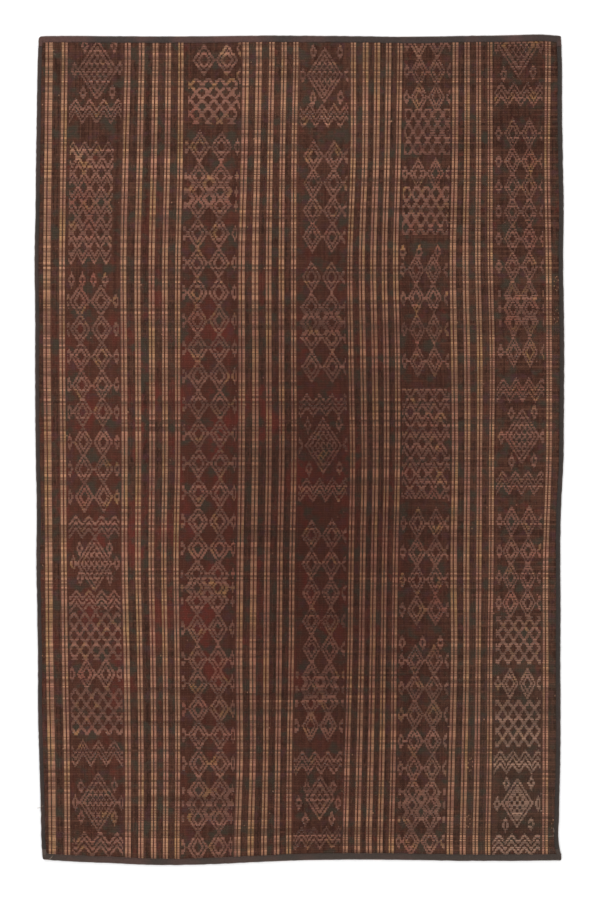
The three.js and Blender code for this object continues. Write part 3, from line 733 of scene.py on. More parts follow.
def reed_material(colours):
    """Aged palm reed: split stems, smooth and half dull, orange where rubbed, stained pink and brown by the
    dye of the thongs. Each reed has its own tone, so a row reads as a faint line right across the mat."""
    material, tree = new_material("aged palm reed")
    position = add_node(tree, "ShaderNodeTexCoord").outputs["Object"]
    tone, place = (add_node(tree, "ShaderNodeAttribute", attribute_name=name).outputs["Fac"]
                   for name in ("tone", "place"))

    zones = add_node(tree, "ShaderNodeValToRGB", {"Fac": place})
    zones.color_ramp.interpolation = "CONSTANT"
    marks = zones.color_ramp.elements
    marks[0].color = (0, 0, 0, 1)
    marks.remove(marks[1])
    for _, first, _, figured in zone_ends()[1:]:
        mark = marks.new(first / THONGS)
        mark.color = (1, 1, 1, 1) if figured else (0, 0, 0, 1)

    # Dye and rubbing run along the thongs, 30 to 50 mm wide and up to 250 mm long
    dyed = stained(tree, position, colours.reed_orange, (colours.reed_pink, 33, 4, 0.46, 0.75),
                   (colours.reed_gold, 19, 4, 0.52, 0.5), (colours.figure_red, 37, 11, 0.62, 0.4))
    # Scuffs on single reeds: 25 mm long and 3 mm wide
    scuffed = add_node(tree, "ShaderNodeVectorMath", {"Vector": position, "Vector_001": (40, 330, 1)},
                       operation="MULTIPLY")
    scuff = add_node(tree, "ShaderNodeTexNoise", {"Vector": scuffed, "Scale": 1.0, "Detail": 2.0})
    scuff_share = add_node(tree, "ShaderNodeMapRange",
                           {"Value": scuff, "From Min": 0.56, "From Max": 0.78, "To Max": 0.6})
    pale = covered(tree, dyed, (scuff_share, colours.reed_pale))
    # Near the lower right corner the figures are cleaner, and the reeds dry and grey
    corner = around(tree, position, *DRY_CORNER)
    dyed_share = add_node(tree, "ShaderNodeMapRange",
                          {"Value": corner, "To Min": 0.87, "To Max": 0.68})
    worn = 0.0
    for x, y, reach_x, reach_y in WORN_SPOTS:
        worn = add_node(tree, "ShaderNodeMath",
                        {"Value": around(tree, position, (x, y), (reach_x, reach_y)), "Value_001": worn},
                        operation="MAXIMUM")
    still_dyed = add_node(tree, "ShaderNodeMath", {"Value": dyed_share, "Value_001": worn},
                          operation="SUBTRACT", use_clamp=True)
    in_band = add_node(tree, "ShaderNodeMath", {"Value": zones, "Value_001": still_dyed},
                       operation="MULTIPLY")
    dyed_figure = stained(tree, position, colours.reed_figure, (colours.figure_red, 11, 7, 0.54, 0.5),
                          (colours.figure_gold, 17, 13, 0.56, 0.6))
    brightness = add_node(tree, "ShaderNodeMapRange",
                          {"Value": tone, "To Min": 0.45, "To Max": 1.45})
    cornered = add_node(tree, "ShaderNodeMath", {"Value": corner, "Value_001": zones}, operation="MULTIPLY")
    dry_share = add_node(tree, "ShaderNodeMath", {"Value": cornered, "Value_001": 0.45}, operation="MULTIPLY")
    dried = covered(tree, pale, (in_band, dyed_figure), (dry_share, colours.reed_dry))
    toned = add_node(tree, "ShaderNodeVectorMath", {"Vector": dried, "Scale": brightness}, operation="SCALE")
    toned = handled(tree, position, toned, colours, 0.86)

    # Fibres along the reed, drawn 0.6 mm wide so that they show in close views
    fibres = add_node(tree, "ShaderNodeVectorMath", {"Vector": position, "Vector_001": (60, 1600, 1600)},
                      operation="MULTIPLY")
    fibre = add_node(tree, "ShaderNodeTexNoise", {"Vector": fibres, "Scale": 1.0, "Detail": 2.0})
    bump = add_node(tree, "ShaderNodeBump", {"Strength": 0.5, "Distance": 0.0002, "Height": fibre})
    roughness = add_node(tree, "ShaderNodeMapRange",
                         {"Value": fibre, "From Min": 0.3, "From Max": 0.7, "To Min": 0.42, "To Max": 0.6})
    shader = add_node(tree, "ShaderNodeBsdfPrincipled",
                      {"Base Color": toned, "Roughness": roughness, "Normal": bump, "IOR": 1.5,
                       "Specular IOR Level": 0.2})
    add_node(tree, "ShaderNodeOutputMaterial", {"Surface": shader})
    return material


def thong_material(colours):
    """Dyed goat leather thong: flat, dry and dull, lighter over each row of reeds, partly rubbed and partly a
    painted highlight, and darker in the dips as painted shade. The dye has gone red, olive and plum in
    patches a hand or two wide, and olive near the lower right corner."""
    material, tree = new_material("dyed goat leather thong")
    position = add_node(tree, "ShaderNodeTexCoord").outputs["Object"]
    tone, crest, figured, lone = (add_node(tree, "ShaderNodeAttribute", attribute_name=name).outputs["Fac"]
                                  for name in ("tone", "crest", "figured", "lone"))

    # Most of the red is kept left of the middle
    middle_left = around(tree, position, *RED_LEFT)
    figured_red = add_node(tree, "ShaderNodeMapRange",
                           {"Value": middle_left, "To Min": 0.15, "To Max": 0.8})
    figured_share = add_node(tree, "ShaderNodeMath", {"Value": figured, "Value_001": figured_red},
                             operation="MULTIPLY")
    lone_share = add_node(tree, "ShaderNodeMath", {"Value": lone, "Value_001": 0.8}, operation="MULTIPLY")
    leather = covered(tree, colours.thong_dark, (tone, colours.thong_light),
                      (figured_share, colours.thong_figure), (lone_share, colours.thong_hair))

    red_share = add_node(tree, "ShaderNodeMath", {"Value": middle_left, "Value_001": 0.8},
                         operation="MULTIPLY")
    leather = stained(tree, position, leather, (colours.stain_red, 8, 4, 0.5, red_share),
                      (colours.stain_olive, 15, 17, 0.5, 0.88), (colours.stain_plum, 21, 24, 0.54, 0.6),
                      (colours.stain_red, 26, 21, 0.58, 0.35))
    corner_share = add_node(tree, "ShaderNodeMath",
                            {"Value": around(tree, position, *DRY_CORNER), "Value_001": 0.3},
                            operation="MULTIPLY")
    leather = covered(tree, leather, (corner_share, colours.stain_olive))
    # Painted shade and highlight: the crest value darkens the thong in its dips and lightens it over each
    # row, the lightening partly standing for rubbed leather
    wear = add_node(tree, "ShaderNodeMapRange",
                    {"Value": crest, "To Min": 0.74, "To Max": 1.1})
    worn = add_node(tree, "ShaderNodeVectorMath", {"Vector": leather, "Scale": wear}, operation="SCALE")
    # Pale dust caught on the leather, in soft specks of 3 mm
    specks = add_node(tree, "ShaderNodeTexNoise", {"Vector": position, "Scale": 330.0, "Detail": 1.0})
    dust = add_node(tree, "ShaderNodeMapRange",
                    {"Value": specks, "From Min": 0.64, "From Max": 0.84, "To Max": 0.8})
    dusty = covered(tree, worn, (dust, colours.reed_figure))
    dusty = handled(tree, position, dusty, colours, 0.8)

    # Leather grain, drawn 1.2 mm wide so that it shows in close views
    grain = add_node(tree, "ShaderNodeTexVoronoi", {"Vector": position, "Scale": 830.0},
                     feature="DISTANCE_TO_EDGE")
    bump = add_node(tree, "ShaderNodeBump", {"Strength": 0.25, "Distance": 0.0002, "Height": grain})
    roughness = add_node(tree, "ShaderNodeMapRange",
                         {"Value": crest, "To Min": 0.85, "To Max": 0.58})
    shader = add_node(tree, "ShaderNodeBsdfPrincipled",
                      {"Base Color": dusty, "Roughness": roughness, "Normal": bump, "IOR": 1.45,
                       "Specular IOR Level": 0.12})
    add_node(tree, "ShaderNodeOutputMaterial", {"Surface": shader})
    return material


def binding_material(name, colours, main, red_share):
    """Folded goat leather: close grained and half dull, rubbed paler along the fold, reddish in patches and
    creased across where it was pulled tight over the edge."""
    material, tree = new_material(name)
    position = add_node(tree, "ShaderNodeTexCoord").outputs["Object"]
    inward, turned = (add_node(tree, "ShaderNodeAttribute", attribute_name=name).outputs["Fac"]
                      for name in ("inward", "turned"))

    # Patches 150 mm wide, more of them towards the left of the mat
    patches = add_node(tree, "ShaderNodeTexNoise", {"Vector": position, "Scale": 6.5, "Detail": 4.0})
    across = add_node(tree, "ShaderNodeSeparateXYZ", {"Vector": position})
    leaning = add_node(tree, "ShaderNodeMath", {"Value": across, "Value_001": -0.07, "Value_002": patches},
                       operation="MULTIPLY_ADD")
    share = add_node(tree, "ShaderNodeMapRange",
                     {"Value": leaning, "From Min": 0.45, "From Max": 0.62, "To Max": red_share})
    leather = covered(tree, main, (share, colours.binding_red))
    # Rubbing and cracks 6 mm wide
    rubbing = add_node(tree, "ShaderNodeTexNoise", {"Vector": position, "Scale": 160.0, "Detail": 3.0})
    uneven = add_node(tree, "ShaderNodeMapRange",
                      {"Value": rubbing, "From Min": 0.3, "From Max": 0.7, "To Min": 0.82, "To Max": 1.2})
    mottled = add_node(tree, "ShaderNodeVectorMath", {"Vector": leather, "Scale": uneven}, operation="SCALE")
    fold = add_node(tree, "ShaderNodeMapRange",
                    {"Value": inward, "From Min": 1.0, "From Max": 5.0, "To Min": 0.34, "To Max": 0.0})
    turned_share = add_node(tree, "ShaderNodeMath", {"Value": turned, "Value_001": 0.3}, operation="MULTIPLY")
    lapped = covered(tree, mottled, (fold, colours.binding_worn), (turned_share, colours.binding_worn))

    # Grain, drawn 1.4 mm wide so that it shows in close views
    grain = add_node(tree, "ShaderNodeTexVoronoi", {"Vector": position, "Scale": 700.0},
                     feature="DISTANCE_TO_EDGE")
    bump = add_node(tree, "ShaderNodeBump", {"Strength": 0.3, "Distance": 0.0002, "Height": grain})
    creases = add_node(tree, "ShaderNodeBump",
                       {"Strength": 0.35, "Distance": 0.0008, "Height": rubbing, "Normal": bump})
    roughness = add_node(tree, "ShaderNodeMapRange",
                         {"Value": rubbing, "From Min": 0.3, "From Max": 0.7, "To Min": 0.68, "To Max": 0.52})
    shader = add_node(tree, "ShaderNodeBsdfPrincipled",
                      {"Base Color": lapped, "Roughness": roughness, "Normal": creases, "IOR": 1.45,
                       "Specular IOR Level": 0.25})
    add_node(tree, "ShaderNodeOutputMaterial", {"Surface": shader})
    return material


def thread_material(name, main):
    """Twisted sewing fibre: dull, with the twist showing as fine slanting lines of painted shade."""
    material, tree = new_material(name)
    position = add_node(tree, "ShaderNodeTexCoord").outputs["Object"]
    twist = add_node(tree, "ShaderNodeTexWave", {"Vector": position, "Scale": 300.0, "Distortion": 1.5},
                     bands_direction="DIAGONAL")
    # Painted shade and highlight: the fibre's colour darkened and lightened along the twist
    shade = add_node(tree, "ShaderNodeMapRange",
                     {"Value": twist.outputs["Fac"], "To Min": 0.7, "To Max": 1.15})
    fibre = add_node(tree, "ShaderNodeVectorMath", {"Vector": main[:3], "Scale": shade},
                     operation="SCALE")
    bump = add_node(tree, "ShaderNodeBump",
                    {"Strength": 0.5, "Distance": 0.0002, "Height": twist.outputs["Fac"]})
    shader = add_node(tree, "ShaderNodeBsdfPrincipled",
                      {"Base Color": fibre, "Roughness": 0.8, "Normal": bump, "Specular IOR Level": 0.2})
    add_node(tree, "ShaderNodeOutputMaterial", {"Surface": shader})
    return material


def floor_material(colours):
    """Painted floor: plain, pale and matt, with a very faint unevenness."""
    material, tree = new_material("matt painted floor")
    position = add_node(tree, "ShaderNodeTexCoord").outputs["Object"]
    cloud = add_node(tree, "ShaderNodeTexNoise", {"Vector": position, "Scale": 3.0, "Detail": 2.0})
    shade = add_node(tree, "ShaderNodeMapRange",
                     {"Value": cloud, "From Min": 0.3, "From Max": 0.7, "To Min": 0.99, "To Max": 1.0})
    paint = add_node(tree, "ShaderNodeVectorMath", {"Vector": colours.floor[:3], "Scale": shade},
                     operation="SCALE")
    shader = add_node(tree, "ShaderNodeBsdfPrincipled",
                      {"Base Color": paint, "Roughness": 0.9, "Specular IOR Level": 0.1})
    add_node(tree, "ShaderNodeOutputMaterial", {"Surface": shader})
    return material


# Light and dark rows: a row of reeds that stands a little proud is rubbed lighter for a hand or two, and the
# thongs over it too. Between two rows the reeds are darkened in places as painted shade

ROW_PARTS = 32


ROW_SKEW = 1.6  # of a gamma draw: most rows are a little dark, and a few stand out light


def light_of_rows():
    """How much lighter each part of each row is, with some stretches that stand out light or dark."""
    rng = np.random.default_rng(5)
    whole_row = rng.gamma(ROW_SKEW, 1, (ROWS, 1)) - ROW_SKEW
    in_parts = rng.gamma(ROW_SKEW, 1, (ROWS, ROW_PARTS + 1)) - ROW_SKEW
    light = 0.13 * whole_row + 0.2 * in_parts
    for stretches, longest, weakest, strongest, sign in ((110, 8, 0.25, 0.55, 1), (50, 9, 0.2, 0.45, -1)):
        for row in rng.choice(ROWS, stretches, replace=False):
            first = rng.integers(0, ROW_PARTS - 2)
            light[row, first:first + rng.integers(2, longest)] += sign * rng.uniform(weakest, strongest)
    return light


def light_of_open_rows():
    light = np.zeros((ROWS, ROW_PARTS + 1))
    for row, *ends in OPEN_ROWS:
        first, last = (round(thong / THONGS * ROW_PARTS) for thong in ends)
        light[row, first:last + 1] = 0.5
    return light


def shade_between_rows():
    """Painted shade between the rows, darker towards the right side of the mat, where the rows lie further
    apart.
    """
    rng = np.random.default_rng(6)
    dark = rng.normal(0.3, 0.2, (ROWS, 1)) + rng.normal(0, 0.25, (ROWS, ROW_PARTS + 1))
    return np.clip(dark + 0.5 * smoothstep(0.72, 0.85, np.linspace(0, 1, ROW_PARTS + 1)), 0, 1)


def read_rows(table, row, share):
    """The table's value in a row of reeds at a share of the mat's width."""
    place = np.clip(share, 0, 1) * ROW_PARTS
    k = np.minimum(place.astype(int), ROW_PARTS - 1)
    return table[row, k] * (1 - place + k) + table[row, k + 1] * (place - k)


# Thongs

BULGE = 0.16  # how far a thong beside bare reed spreads over it, in thongs
BULGE_IN_BAND = 0.02  # the same in the figured bands
BULGE_OF_LONE = -0.06  # and for the single thongs of the stripes, which are narrow
OUTERMOST_REACH = 1.5  # how far the outermost thongs go out under the bindings, in thongs


def spread_of_thongs():
    """How far the left and the right edge of each thong spreads over bare reed beside it, in thongs."""
    spread = np.full((2, THONGS), BULGE)
    for _, first, end, figured in zone_ends():
        if figured:
            spread[:, first:end] = BULGE_IN_BAND
    for thong, left, right, left_spread, right_spread in STRIPES:
        spread[:, thong] = BULGE_OF_LONE
        spread[1, thong - left - 1] = left_spread
        spread[0, thong + right + 1] = right_spread
    return spread


def on_mat(place, row, z):
    """Points at places counted in thongs and in rows, and at a height over what lies under the weave."""
    along = along_of_row(row, across_of_thong(place, FIRST_ROW_EDGE - ROW_PITCH * row))
    across, along = kept_in(across_of_thong(place, along), along)
    return np.stack([across, along, z + lift(across, along)], 1)


def tones_of_thongs(rng, rows, thongs):
    """How light each cell is: by its thong, by the stretch along it, by its row, and by itself."""
    thong_tone = np.clip(rng.normal(0.5, 0.2, THONGS), 0, 1)[thongs]
    run_tone = smooth_rows(rng.normal(0, 1, (ROWS, THONGS)), 14)[rows, thongs] * 0.5
    row_tone = read_rows(light_of_rows(), rows, thongs / THONGS)
    row_tone *= 0.6 + 0.6 * smoothstep(0.7, 0.85, thongs / THONGS)
    return np.clip(thong_tone + run_tone + row_tone + rng.normal(0, 0.17, rows.size), 0, 1.3)


def thong_piece(name, first, end, figured, bare, sizes, material):
    """The thongs of one zone, wherever they lie over the reeds. Each cell is a strip that is bent over its
    row of reeds, from one dip to the next, or ends half way where one half of the cell is bare."""
    rng = np.random.default_rng(1000 + first)
    over = ~bare
    rows, thongs = np.nonzero((over[0::2] | over[1::2])[:, first:end])
    thongs = thongs + first
    count = rows.size
    spread = spread_of_thongs()
    # Bare reed at each cell and round it: in its upper half, in its lower half, and in the halves beyond
    padded = np.pad(bare, 1)
    upper, lower = padded[2 * rows + 1, thongs + 1], padded[2 * rows + 2, thongs + 1]
    closed = (padded[2 * rows, thongs + 1], upper | lower, padded[2 * rows + 3, thongs + 1])
    inwards = (0.03, np.where(upper, 0.02, -0.02), -0.03)
    beside = [(padded[2 * rows + 1, thongs + 2 * side], padded[2 * rows + 2, thongs + 2 * side])
              for side in (0, 1)]

    row_gap = np.clip(rng.normal(0.0, 0.012, (ROWS, THONGS)), 0, 0.05)
    for open_row, from_thong, to_thong in OPEN_ROWS:
        row_gap[open_row, from_thong:to_thong + 1] += rng.uniform(0, 0.09, to_thong + 1 - from_thong)
    gap = row_gap[rows, thongs]
    waver = np.cumsum(rng.normal(0, 0.012, (ROWS + 1, THONGS)), 0)
    waver -= smooth_rows(waver, 40)
    tilt = rng.normal(0, 0.09, THONGS)[thongs]
    height = rng.normal(0.02, 0.06, count)
    tone = tones_of_thongs(rng, rows, thongs)

    crest, valley, dip = sizes.thong_crest / MM, sizes.thong_valley / MM, sizes.thong_dip / MM
    points = []
    crest_wear_and_shade = []
    for k, station in enumerate((0, 0.5, 1)):
        on_crest = station == 0.5
        narrow = np.where(closed[k], 0.04, 0.0)
        row = rows + station + np.where(closed[k], inwards[k], 0)
        middle = np.where(closed[k], dip, crest + height) if on_crest else np.full(count, valley)
        shift = waver[rows + (station == 1), thongs]
        for side, outwards in ((0, -1), (1, 1)):
            above, below = beside[side]
            opened = (above, above | below, below)[k]
            spread_out = spread[side, thongs] * opened
            place = thongs + side + shift - outwards * (gap + narrow) + outwards * spread_out
            place += outwards * OUTERMOST_REACH * (thongs == (0, THONGS - 1)[side])
            z = middle + outwards * tilt - 0.25 * opened * on_crest - 0.04 * opened
            points.append(on_mat(place, row, z))
            # The crest value: high over the row of reeds, partly rubbed leather and partly painted highlight;
            # low in the dips, beside bare reed and where the thong dives under, as painted shade
            crest_wear_and_shade.append(np.full(count, float(on_crest)) - 0.35 * opened - 0.3 * closed[k])

    points = np.stack(points, 1).reshape(-1, 3)
    start = 6 * np.arange(count)[:, None]
    faces = np.concatenate([(start + [0, 2, 3, 1])[~upper], (start + [2, 4, 5, 3])[~lower]])
    values = {
        "tone": np.repeat(tone, 6),
        "crest": np.clip(np.stack(crest_wear_and_shade, 1).ravel(), 0, 1),
        "figured": np.full(count * 6, float(figured)),
        "lone": np.repeat(np.isin(thongs, LONE_THONGS), 6).astype(float),
    }
    # The long narrow zone is folded in four columns on its texture
    quarter = math.ceil(ROWS / 4)
    corner_u = np.tile([0.02, 0.98], 3)
    corner_v = np.repeat([0.0, 0.5, 1.0], 2)
    u = (rows // quarter)[:, None] / 4 + ((thongs - first)[:, None] + corner_u) / (end - first) / 4
    v = 1 - ((rows % quarter)[:, None] + corner_v) / quarter
    uv = np.stack([u.ravel(), v.ravel()], 1)[faces.ravel()]
    # The halves of cells that have no face leave loose points, which are dropped
    used, faces = np.unique(faces, return_inverse=True)
    values = {value_name: numbers[used] for value_name, numbers in values.items()}
    return new_piece(name, points[used], faces.reshape(-1, 4).tolist(), material, values, uv)


def smooth_rows(numbers, reach):
    """Each column averaged over this many rows."""
    padded = np.pad(numbers, ((reach // 2, reach - 1 - reach // 2), (0, 0)), mode="reflect")
    sums = np.cumsum(np.vstack([np.zeros((1, numbers.shape[1])), padded]), 0)
    return (sums[reach:] - sums[:-reach]) * (1 / reach)


def back_piece(name, bare, sizes, material):
    """The thongs where they run under the reeds, seen from the back."""
    rng = np.random.default_rng(77)
    rows, thongs = np.nonzero(bare[0::2] | bare[1::2])
    count = rows.size
    points = []
    for station in (0, 1):
        # Each second dip lies a little higher
        z = sizes.thong_back / MM + 0.25 * ((rows + station) % 2)
        points += [on_mat(thongs + 0.04 + 0.92 * side, (rows + station).astype(float), z) for side in (0, 1)]
    points = np.stack(points, 1).reshape(-1, 3)
    faces = 4 * np.arange(count)[:, None] + [0, 1, 3, 2]
    values = {
        "tone": np.repeat(np.clip(rng.normal(0.45, 0.22, THONGS), 0, 1)[thongs], 4),
        "crest": np.tile([0.5, 0.5, 0.8, 0.8], count),
        "figured": np.zeros(count * 4),
        "lone": np.zeros(count * 4),
    }
    u = (thongs[:, None] + np.array([0.04, 0.96, 0.04, 0.96])) / THONGS
    v = 1 - (rows[:, None] + np.array([0, 0, 1, 1])) / ROWS
    uv = np.stack([u.ravel(), v.ravel()], 1)[faces.ravel()]
    return new_piece(name, points, faces.tolist(), material, values, uv)


# Reeds

REED_LENGTH = 1930.0  # mm, before the reeds are fitted to the outline


def reed_tree(material):
    """Straight reeds in rows, laid across and counted down from the top: the nodes for the weave's ground."""
    tree, given, result = new_geometry_tree("reeds in rows", {
        "Rows": "NodeSocketInt",
        "Row pitch": "NodeSocketFloat",
        "Reeds in a row": "NodeSocketInt",
        "Reed spacing": "NodeSocketFloat",
        "Reed radius": "NodeSocketFloat",
        "Length": "NodeSocketFloat",
        "Rings": "NodeSocketInt",
        "Seed": "NodeSocketInt",
    })
    out = given.outputs
    count = add_node(tree, "ShaderNodeMath", {"Value": out["Rows"], "Value_001": out["Reeds in a row"]},
                     operation="MULTIPLY")
    index = add_node(tree, "GeometryNodeInputIndex")
    in_rows = add_node(tree, "ShaderNodeMath", {"Value": index, "Value_001": out["Reeds in a row"]},
                       operation="DIVIDE")
    row = add_node(tree, "ShaderNodeMath", {"Value": in_rows}, operation="FLOOR")
    within = add_node(tree, "ShaderNodeMath", {"Value": index, "Value_001": out["Reeds in a row"]},
                      operation="MODULO")
    row_middle = add_node(tree, "ShaderNodeMath", {"Value": row, "Value_001": 0.5}, operation="ADD")
    down = add_node(tree, "ShaderNodeMath", {"Value": row_middle, "Value_001": out["Row pitch"]},
                    operation="MULTIPLY")
    last = add_node(tree, "ShaderNodeMath", {"Value": out["Reeds in a row"], "Value_001": -1.0},
                    operation="ADD")
    half = add_node(tree, "ShaderNodeMath", {"Value": last, "Value_001": 0.5}, operation="MULTIPLY")
    aside = add_node(tree, "ShaderNodeMath", {"Value": half, "Value_001": within}, operation="SUBTRACT")
    shift = add_node(tree, "ShaderNodeMath", {"Value": aside, "Value_001": out["Reed spacing"]},
                     operation="MULTIPLY")
    along = add_node(tree, "ShaderNodeMath", {"Value": shift, "Value_001": down}, operation="SUBTRACT")
    spot = add_node(tree, "ShaderNodeCombineXYZ", {"Y": along})
    spots = add_node(tree, "GeometryNodeMeshLine", {"Count": count, "Offset": (0, 0, 0)})
    placed = add_node(tree, "GeometryNodeSetPosition", {"Geometry": spots, "Position": spot})

    half_length = add_node(tree, "ShaderNodeMath", {"Value": out["Length"], "Value_001": 0.5},
                           operation="MULTIPLY")
    other_half = add_node(tree, "ShaderNodeMath", {"Value": out["Length"], "Value_001": -0.5},
                          operation="MULTIPLY")
    start = add_node(tree, "ShaderNodeCombineXYZ", {"X": other_half})
    stop = add_node(tree, "ShaderNodeCombineXYZ", {"X": half_length})
    line = add_node(tree, "GeometryNodeCurvePrimitiveLine", {"Start": start, "End": stop})
    rings = add_node(tree, "GeometryNodeResampleCurve", {"Curve": line, "Count": out["Rings"]})
    ring = add_node(tree, "GeometryNodeCurvePrimitiveCircle",
                    {"Resolution": 6, "Radius": out["Reed radius"]})
    reed = add_node(tree, "GeometryNodeCurveToMesh",
                    {"Curve": rings, "Profile Curve": ring, "Fill Caps": True})

    thickness = add_node(tree, "FunctionNodeRandomValue",
                         {"Min": 0.88, "Max": 1.05, "Seed": out["Seed"]}, data_type="FLOAT")
    scale = add_node(tree, "ShaderNodeCombineXYZ", {"X": 1.0, "Y": thickness, "Z": thickness})
    laid = add_node(tree, "GeometryNodeInstanceOnPoints",
                    {"Points": placed, "Instance": reed, "Scale": scale})
    number = add_node(tree, "GeometryNodeStoreNamedAttribute",
                      {"Geometry": laid, "Name": "number", "Value": index},
                      data_type="FLOAT", domain="INSTANCE")
    real = add_node(tree, "GeometryNodeRealizeInstances", {"Geometry": number})
    finished = add_node(tree, "GeometryNodeSetMaterial", {"Geometry": real, "Material": material})
    tree.links.new(finished.outputs["Geometry"], result.inputs["Geometry"])
    return tree


def lay_reeds(mesh, sizes, reeds):
    """Fits the straight reeds to the crooked outline, lifts them at the edges, and gives each its tone."""
    rng = np.random.default_rng(3)
    flat = np.empty(len(mesh.vertices) * 3, np.float32)
    mesh.vertices.foreach_get("co", flat)
    points = flat.reshape(-1, 3).astype(float) / MM
    number = np.empty(len(mesh.vertices), np.float32)
    mesh.attributes["number"].data.foreach_get("value", number)
    number = number.astype(int)

    count = number.max() + 1
    # The rings lie close together near the long edges, where the weave rises onto the leather
    rings = sizes.reed_rings
    near_edge = np.array([0, 0.0115, 0.044])
    even = np.linspace(0.044, 0.956, rings - 4)[1:-1]
    ring_at = np.concatenate([near_edge, even, [0.956, 0.9885, 1]])
    ring = np.rint((points[:, 0] / REED_LENGTH + 0.5) * (rings - 1)).astype(int)
    share = ring_at[ring]
    row = -points[:, 1] / ROW_PITCH
    rough_along = FIRST_ROW_EDGE - ROW_PITCH * row
    to_end = np.minimum(FIRST_ROW_EDGE - rough_along, rough_along - LAST_ROW_EDGE)
    margin = REED_MARGIN + corner_inset(to_end, WEAVE_CORNER)
    start = side_edge["left"](rough_along) + margin + rng.uniform(0, 1.2, count)[number]
    stop = side_edge["right"](rough_along) - margin - rng.uniform(0, 1.2, count)[number]
    across = start + (stop - start) * share
    # Each reed bows a little, by its own measure at five places along it
    bow = rng.normal(0, 0.22, (count, 5))
    bend = np.clip((share * 4).astype(int), 0, 3)
    part = share * 4 - bend
    waver = bow[number, bend] * (1 - part) + bow[number, bend + 1] * part
    along = along_of_row(row, across) + waver
    z = points[:, 2] + sizes.reed_height / MM + lift(across, along) + rng.normal(0, 0.08, count)[number]
    moved = np.stack([across, along, z], 1)
    mesh.vertices.foreach_set("co", (moved * MM).astype(np.float32).ravel())

    place = mesh.attributes.new("place", "FLOAT", "POINT")
    place.data.foreach_set("value", (thong_at(across, along) / THONGS).astype(np.float32))
    row = number // reeds
    light = read_rows(light_of_rows() + light_of_open_rows(), row, share)
    # Painted shade: the last reed of each row is darkened where it meets the gap to the next row
    light -= (number % reeds == reeds - 1) * read_rows(shade_between_rows(), row, share)
    tone = np.clip(rng.normal(0.52, 0.18, count)[number] + light, 0, 1.3)
    tones = mesh.attributes.new("tone", "FLOAT", "POINT")
    tones.data.foreach_set("value", tone.astype(np.float32))

    # Each reed is one narrow line on the texture
    layer = mesh.uv_layers.new(name="OFBake")
    corner = np.empty(len(mesh.loops), np.int32)
    mesh.loops.foreach_get("vertex_index", corner)
    turn = (points[:, 2] / (2 * sizes.reed_radius / MM) + 0.5).clip(0.02, 0.98)
    uv = np.stack([share[corner], 1 - (number + turn)[corner] / count], 1)
    layer.data.foreach_set("uv", uv.astype(np.float32).ravel())
    mesh.attributes.remove(mesh.attributes["number"])
    mesh.shade_smooth()
    mesh.update()


# Bindings

def binding_section(width, thickness, leather):
    """Points of the folded leather's section: distance in from the fold, and height."""
    top = thickness
    return np.array([
        (width, top - 0.7), (width - 1.2, top - 0.15), (width - 4, top), (width * 0.5, top + 0.05),
        (3.2, top), (1.2, top - 0.5), (0.3, top - 1.6), (0, top / 2), (0.3, 1.6), (1.2, 0.5), (3.2, 0.05),
        (width, 0.0), (width, leather - 0.1), (3.4, leather), (2.4, top / 2), (3.4, top - leather),
        (width, top - leather - 0.5),
    ])


def folded_strip(places, plan, widths, thickness, leather, squeeze, seed, ribs):
    """Points, faces and values of leather folded over an edge. plan gives a point for a place along the edge
    and a distance in from it."""
    rng = np.random.default_rng(seed)
    stations = len(places)
    # The leather swells in lengths of 7 mm, and its fold and its rim waver in lengths of 14 mm
    knots, fine_knots = (np.linspace(places[0], places[-1], max(int(abs(places[-1] - places[0]) / step), 4))
                         for step in (14, 7))
    fold_wobble = curve_through(knots, rng.normal(0, 0.35, knots.size))(places)
    rim_wobble = curve_through(knots, rng.normal(0, 0.5, knots.size))(places)
    swell = curve_through(fine_knots, rng.normal(0, 0.16, fine_knots.size))(places)
    sides = len(binding_section(10, thickness, leather))
    points = []
    inward = []
    for k in range(stations):
        section = binding_section(widths[k], thickness, leather)
        n = section[:, 0].copy()
        z = section[:, 1].copy()
        nearness = 1 - n / widths[k]
        n += nearness * np.maximum(fold_wobble[k], -0.6) + (1 - nearness) * rim_wobble[k]
        upper = z > thickness * 0.72
        z += upper * (swell[k] * (0.4 + nearness) + ribs * math.cos(2 * math.pi * places[k] / ROW_PITCH))
        z = thickness / 2 + (z - thickness / 2) * squeeze[k]
        across, along = plan(places[k], n)
        points.append(np.stack([across + 0 * n, along + 0 * n, z], 1))
        inward.append(np.maximum(section[:, 0], 0))
    return np.concatenate(points), ring_faces(stations, sides), np.concatenate(inward)


def joined_strips(name, strips, material):
    """One piece from several strips, each with its own share of the turned leather's tint."""
    points, faces = joined([strip[:2] for strip, _ in strips])
    values = {
        "inward": np.concatenate([inward for (_, _, inward), _ in strips]),
        "turned": np.concatenate([np.full(len(strip[0]), float(tint)) for strip, tint in strips]),
    }
    return new_piece(name, points, faces, material, values, closed=True)


LAP_LINE = {"top": 1470.0, "bottom": -1458.0}  # mm along the mat, where the laps of the end bindings stop
INWARD = {"left": 1, "right": -1, "top": -1, "bottom": 1}  # the way in from each edge


def side_width(side, sizes):
    return {"left": sizes.left_binding_width, "right": sizes.right_binding_width}[side] / MM


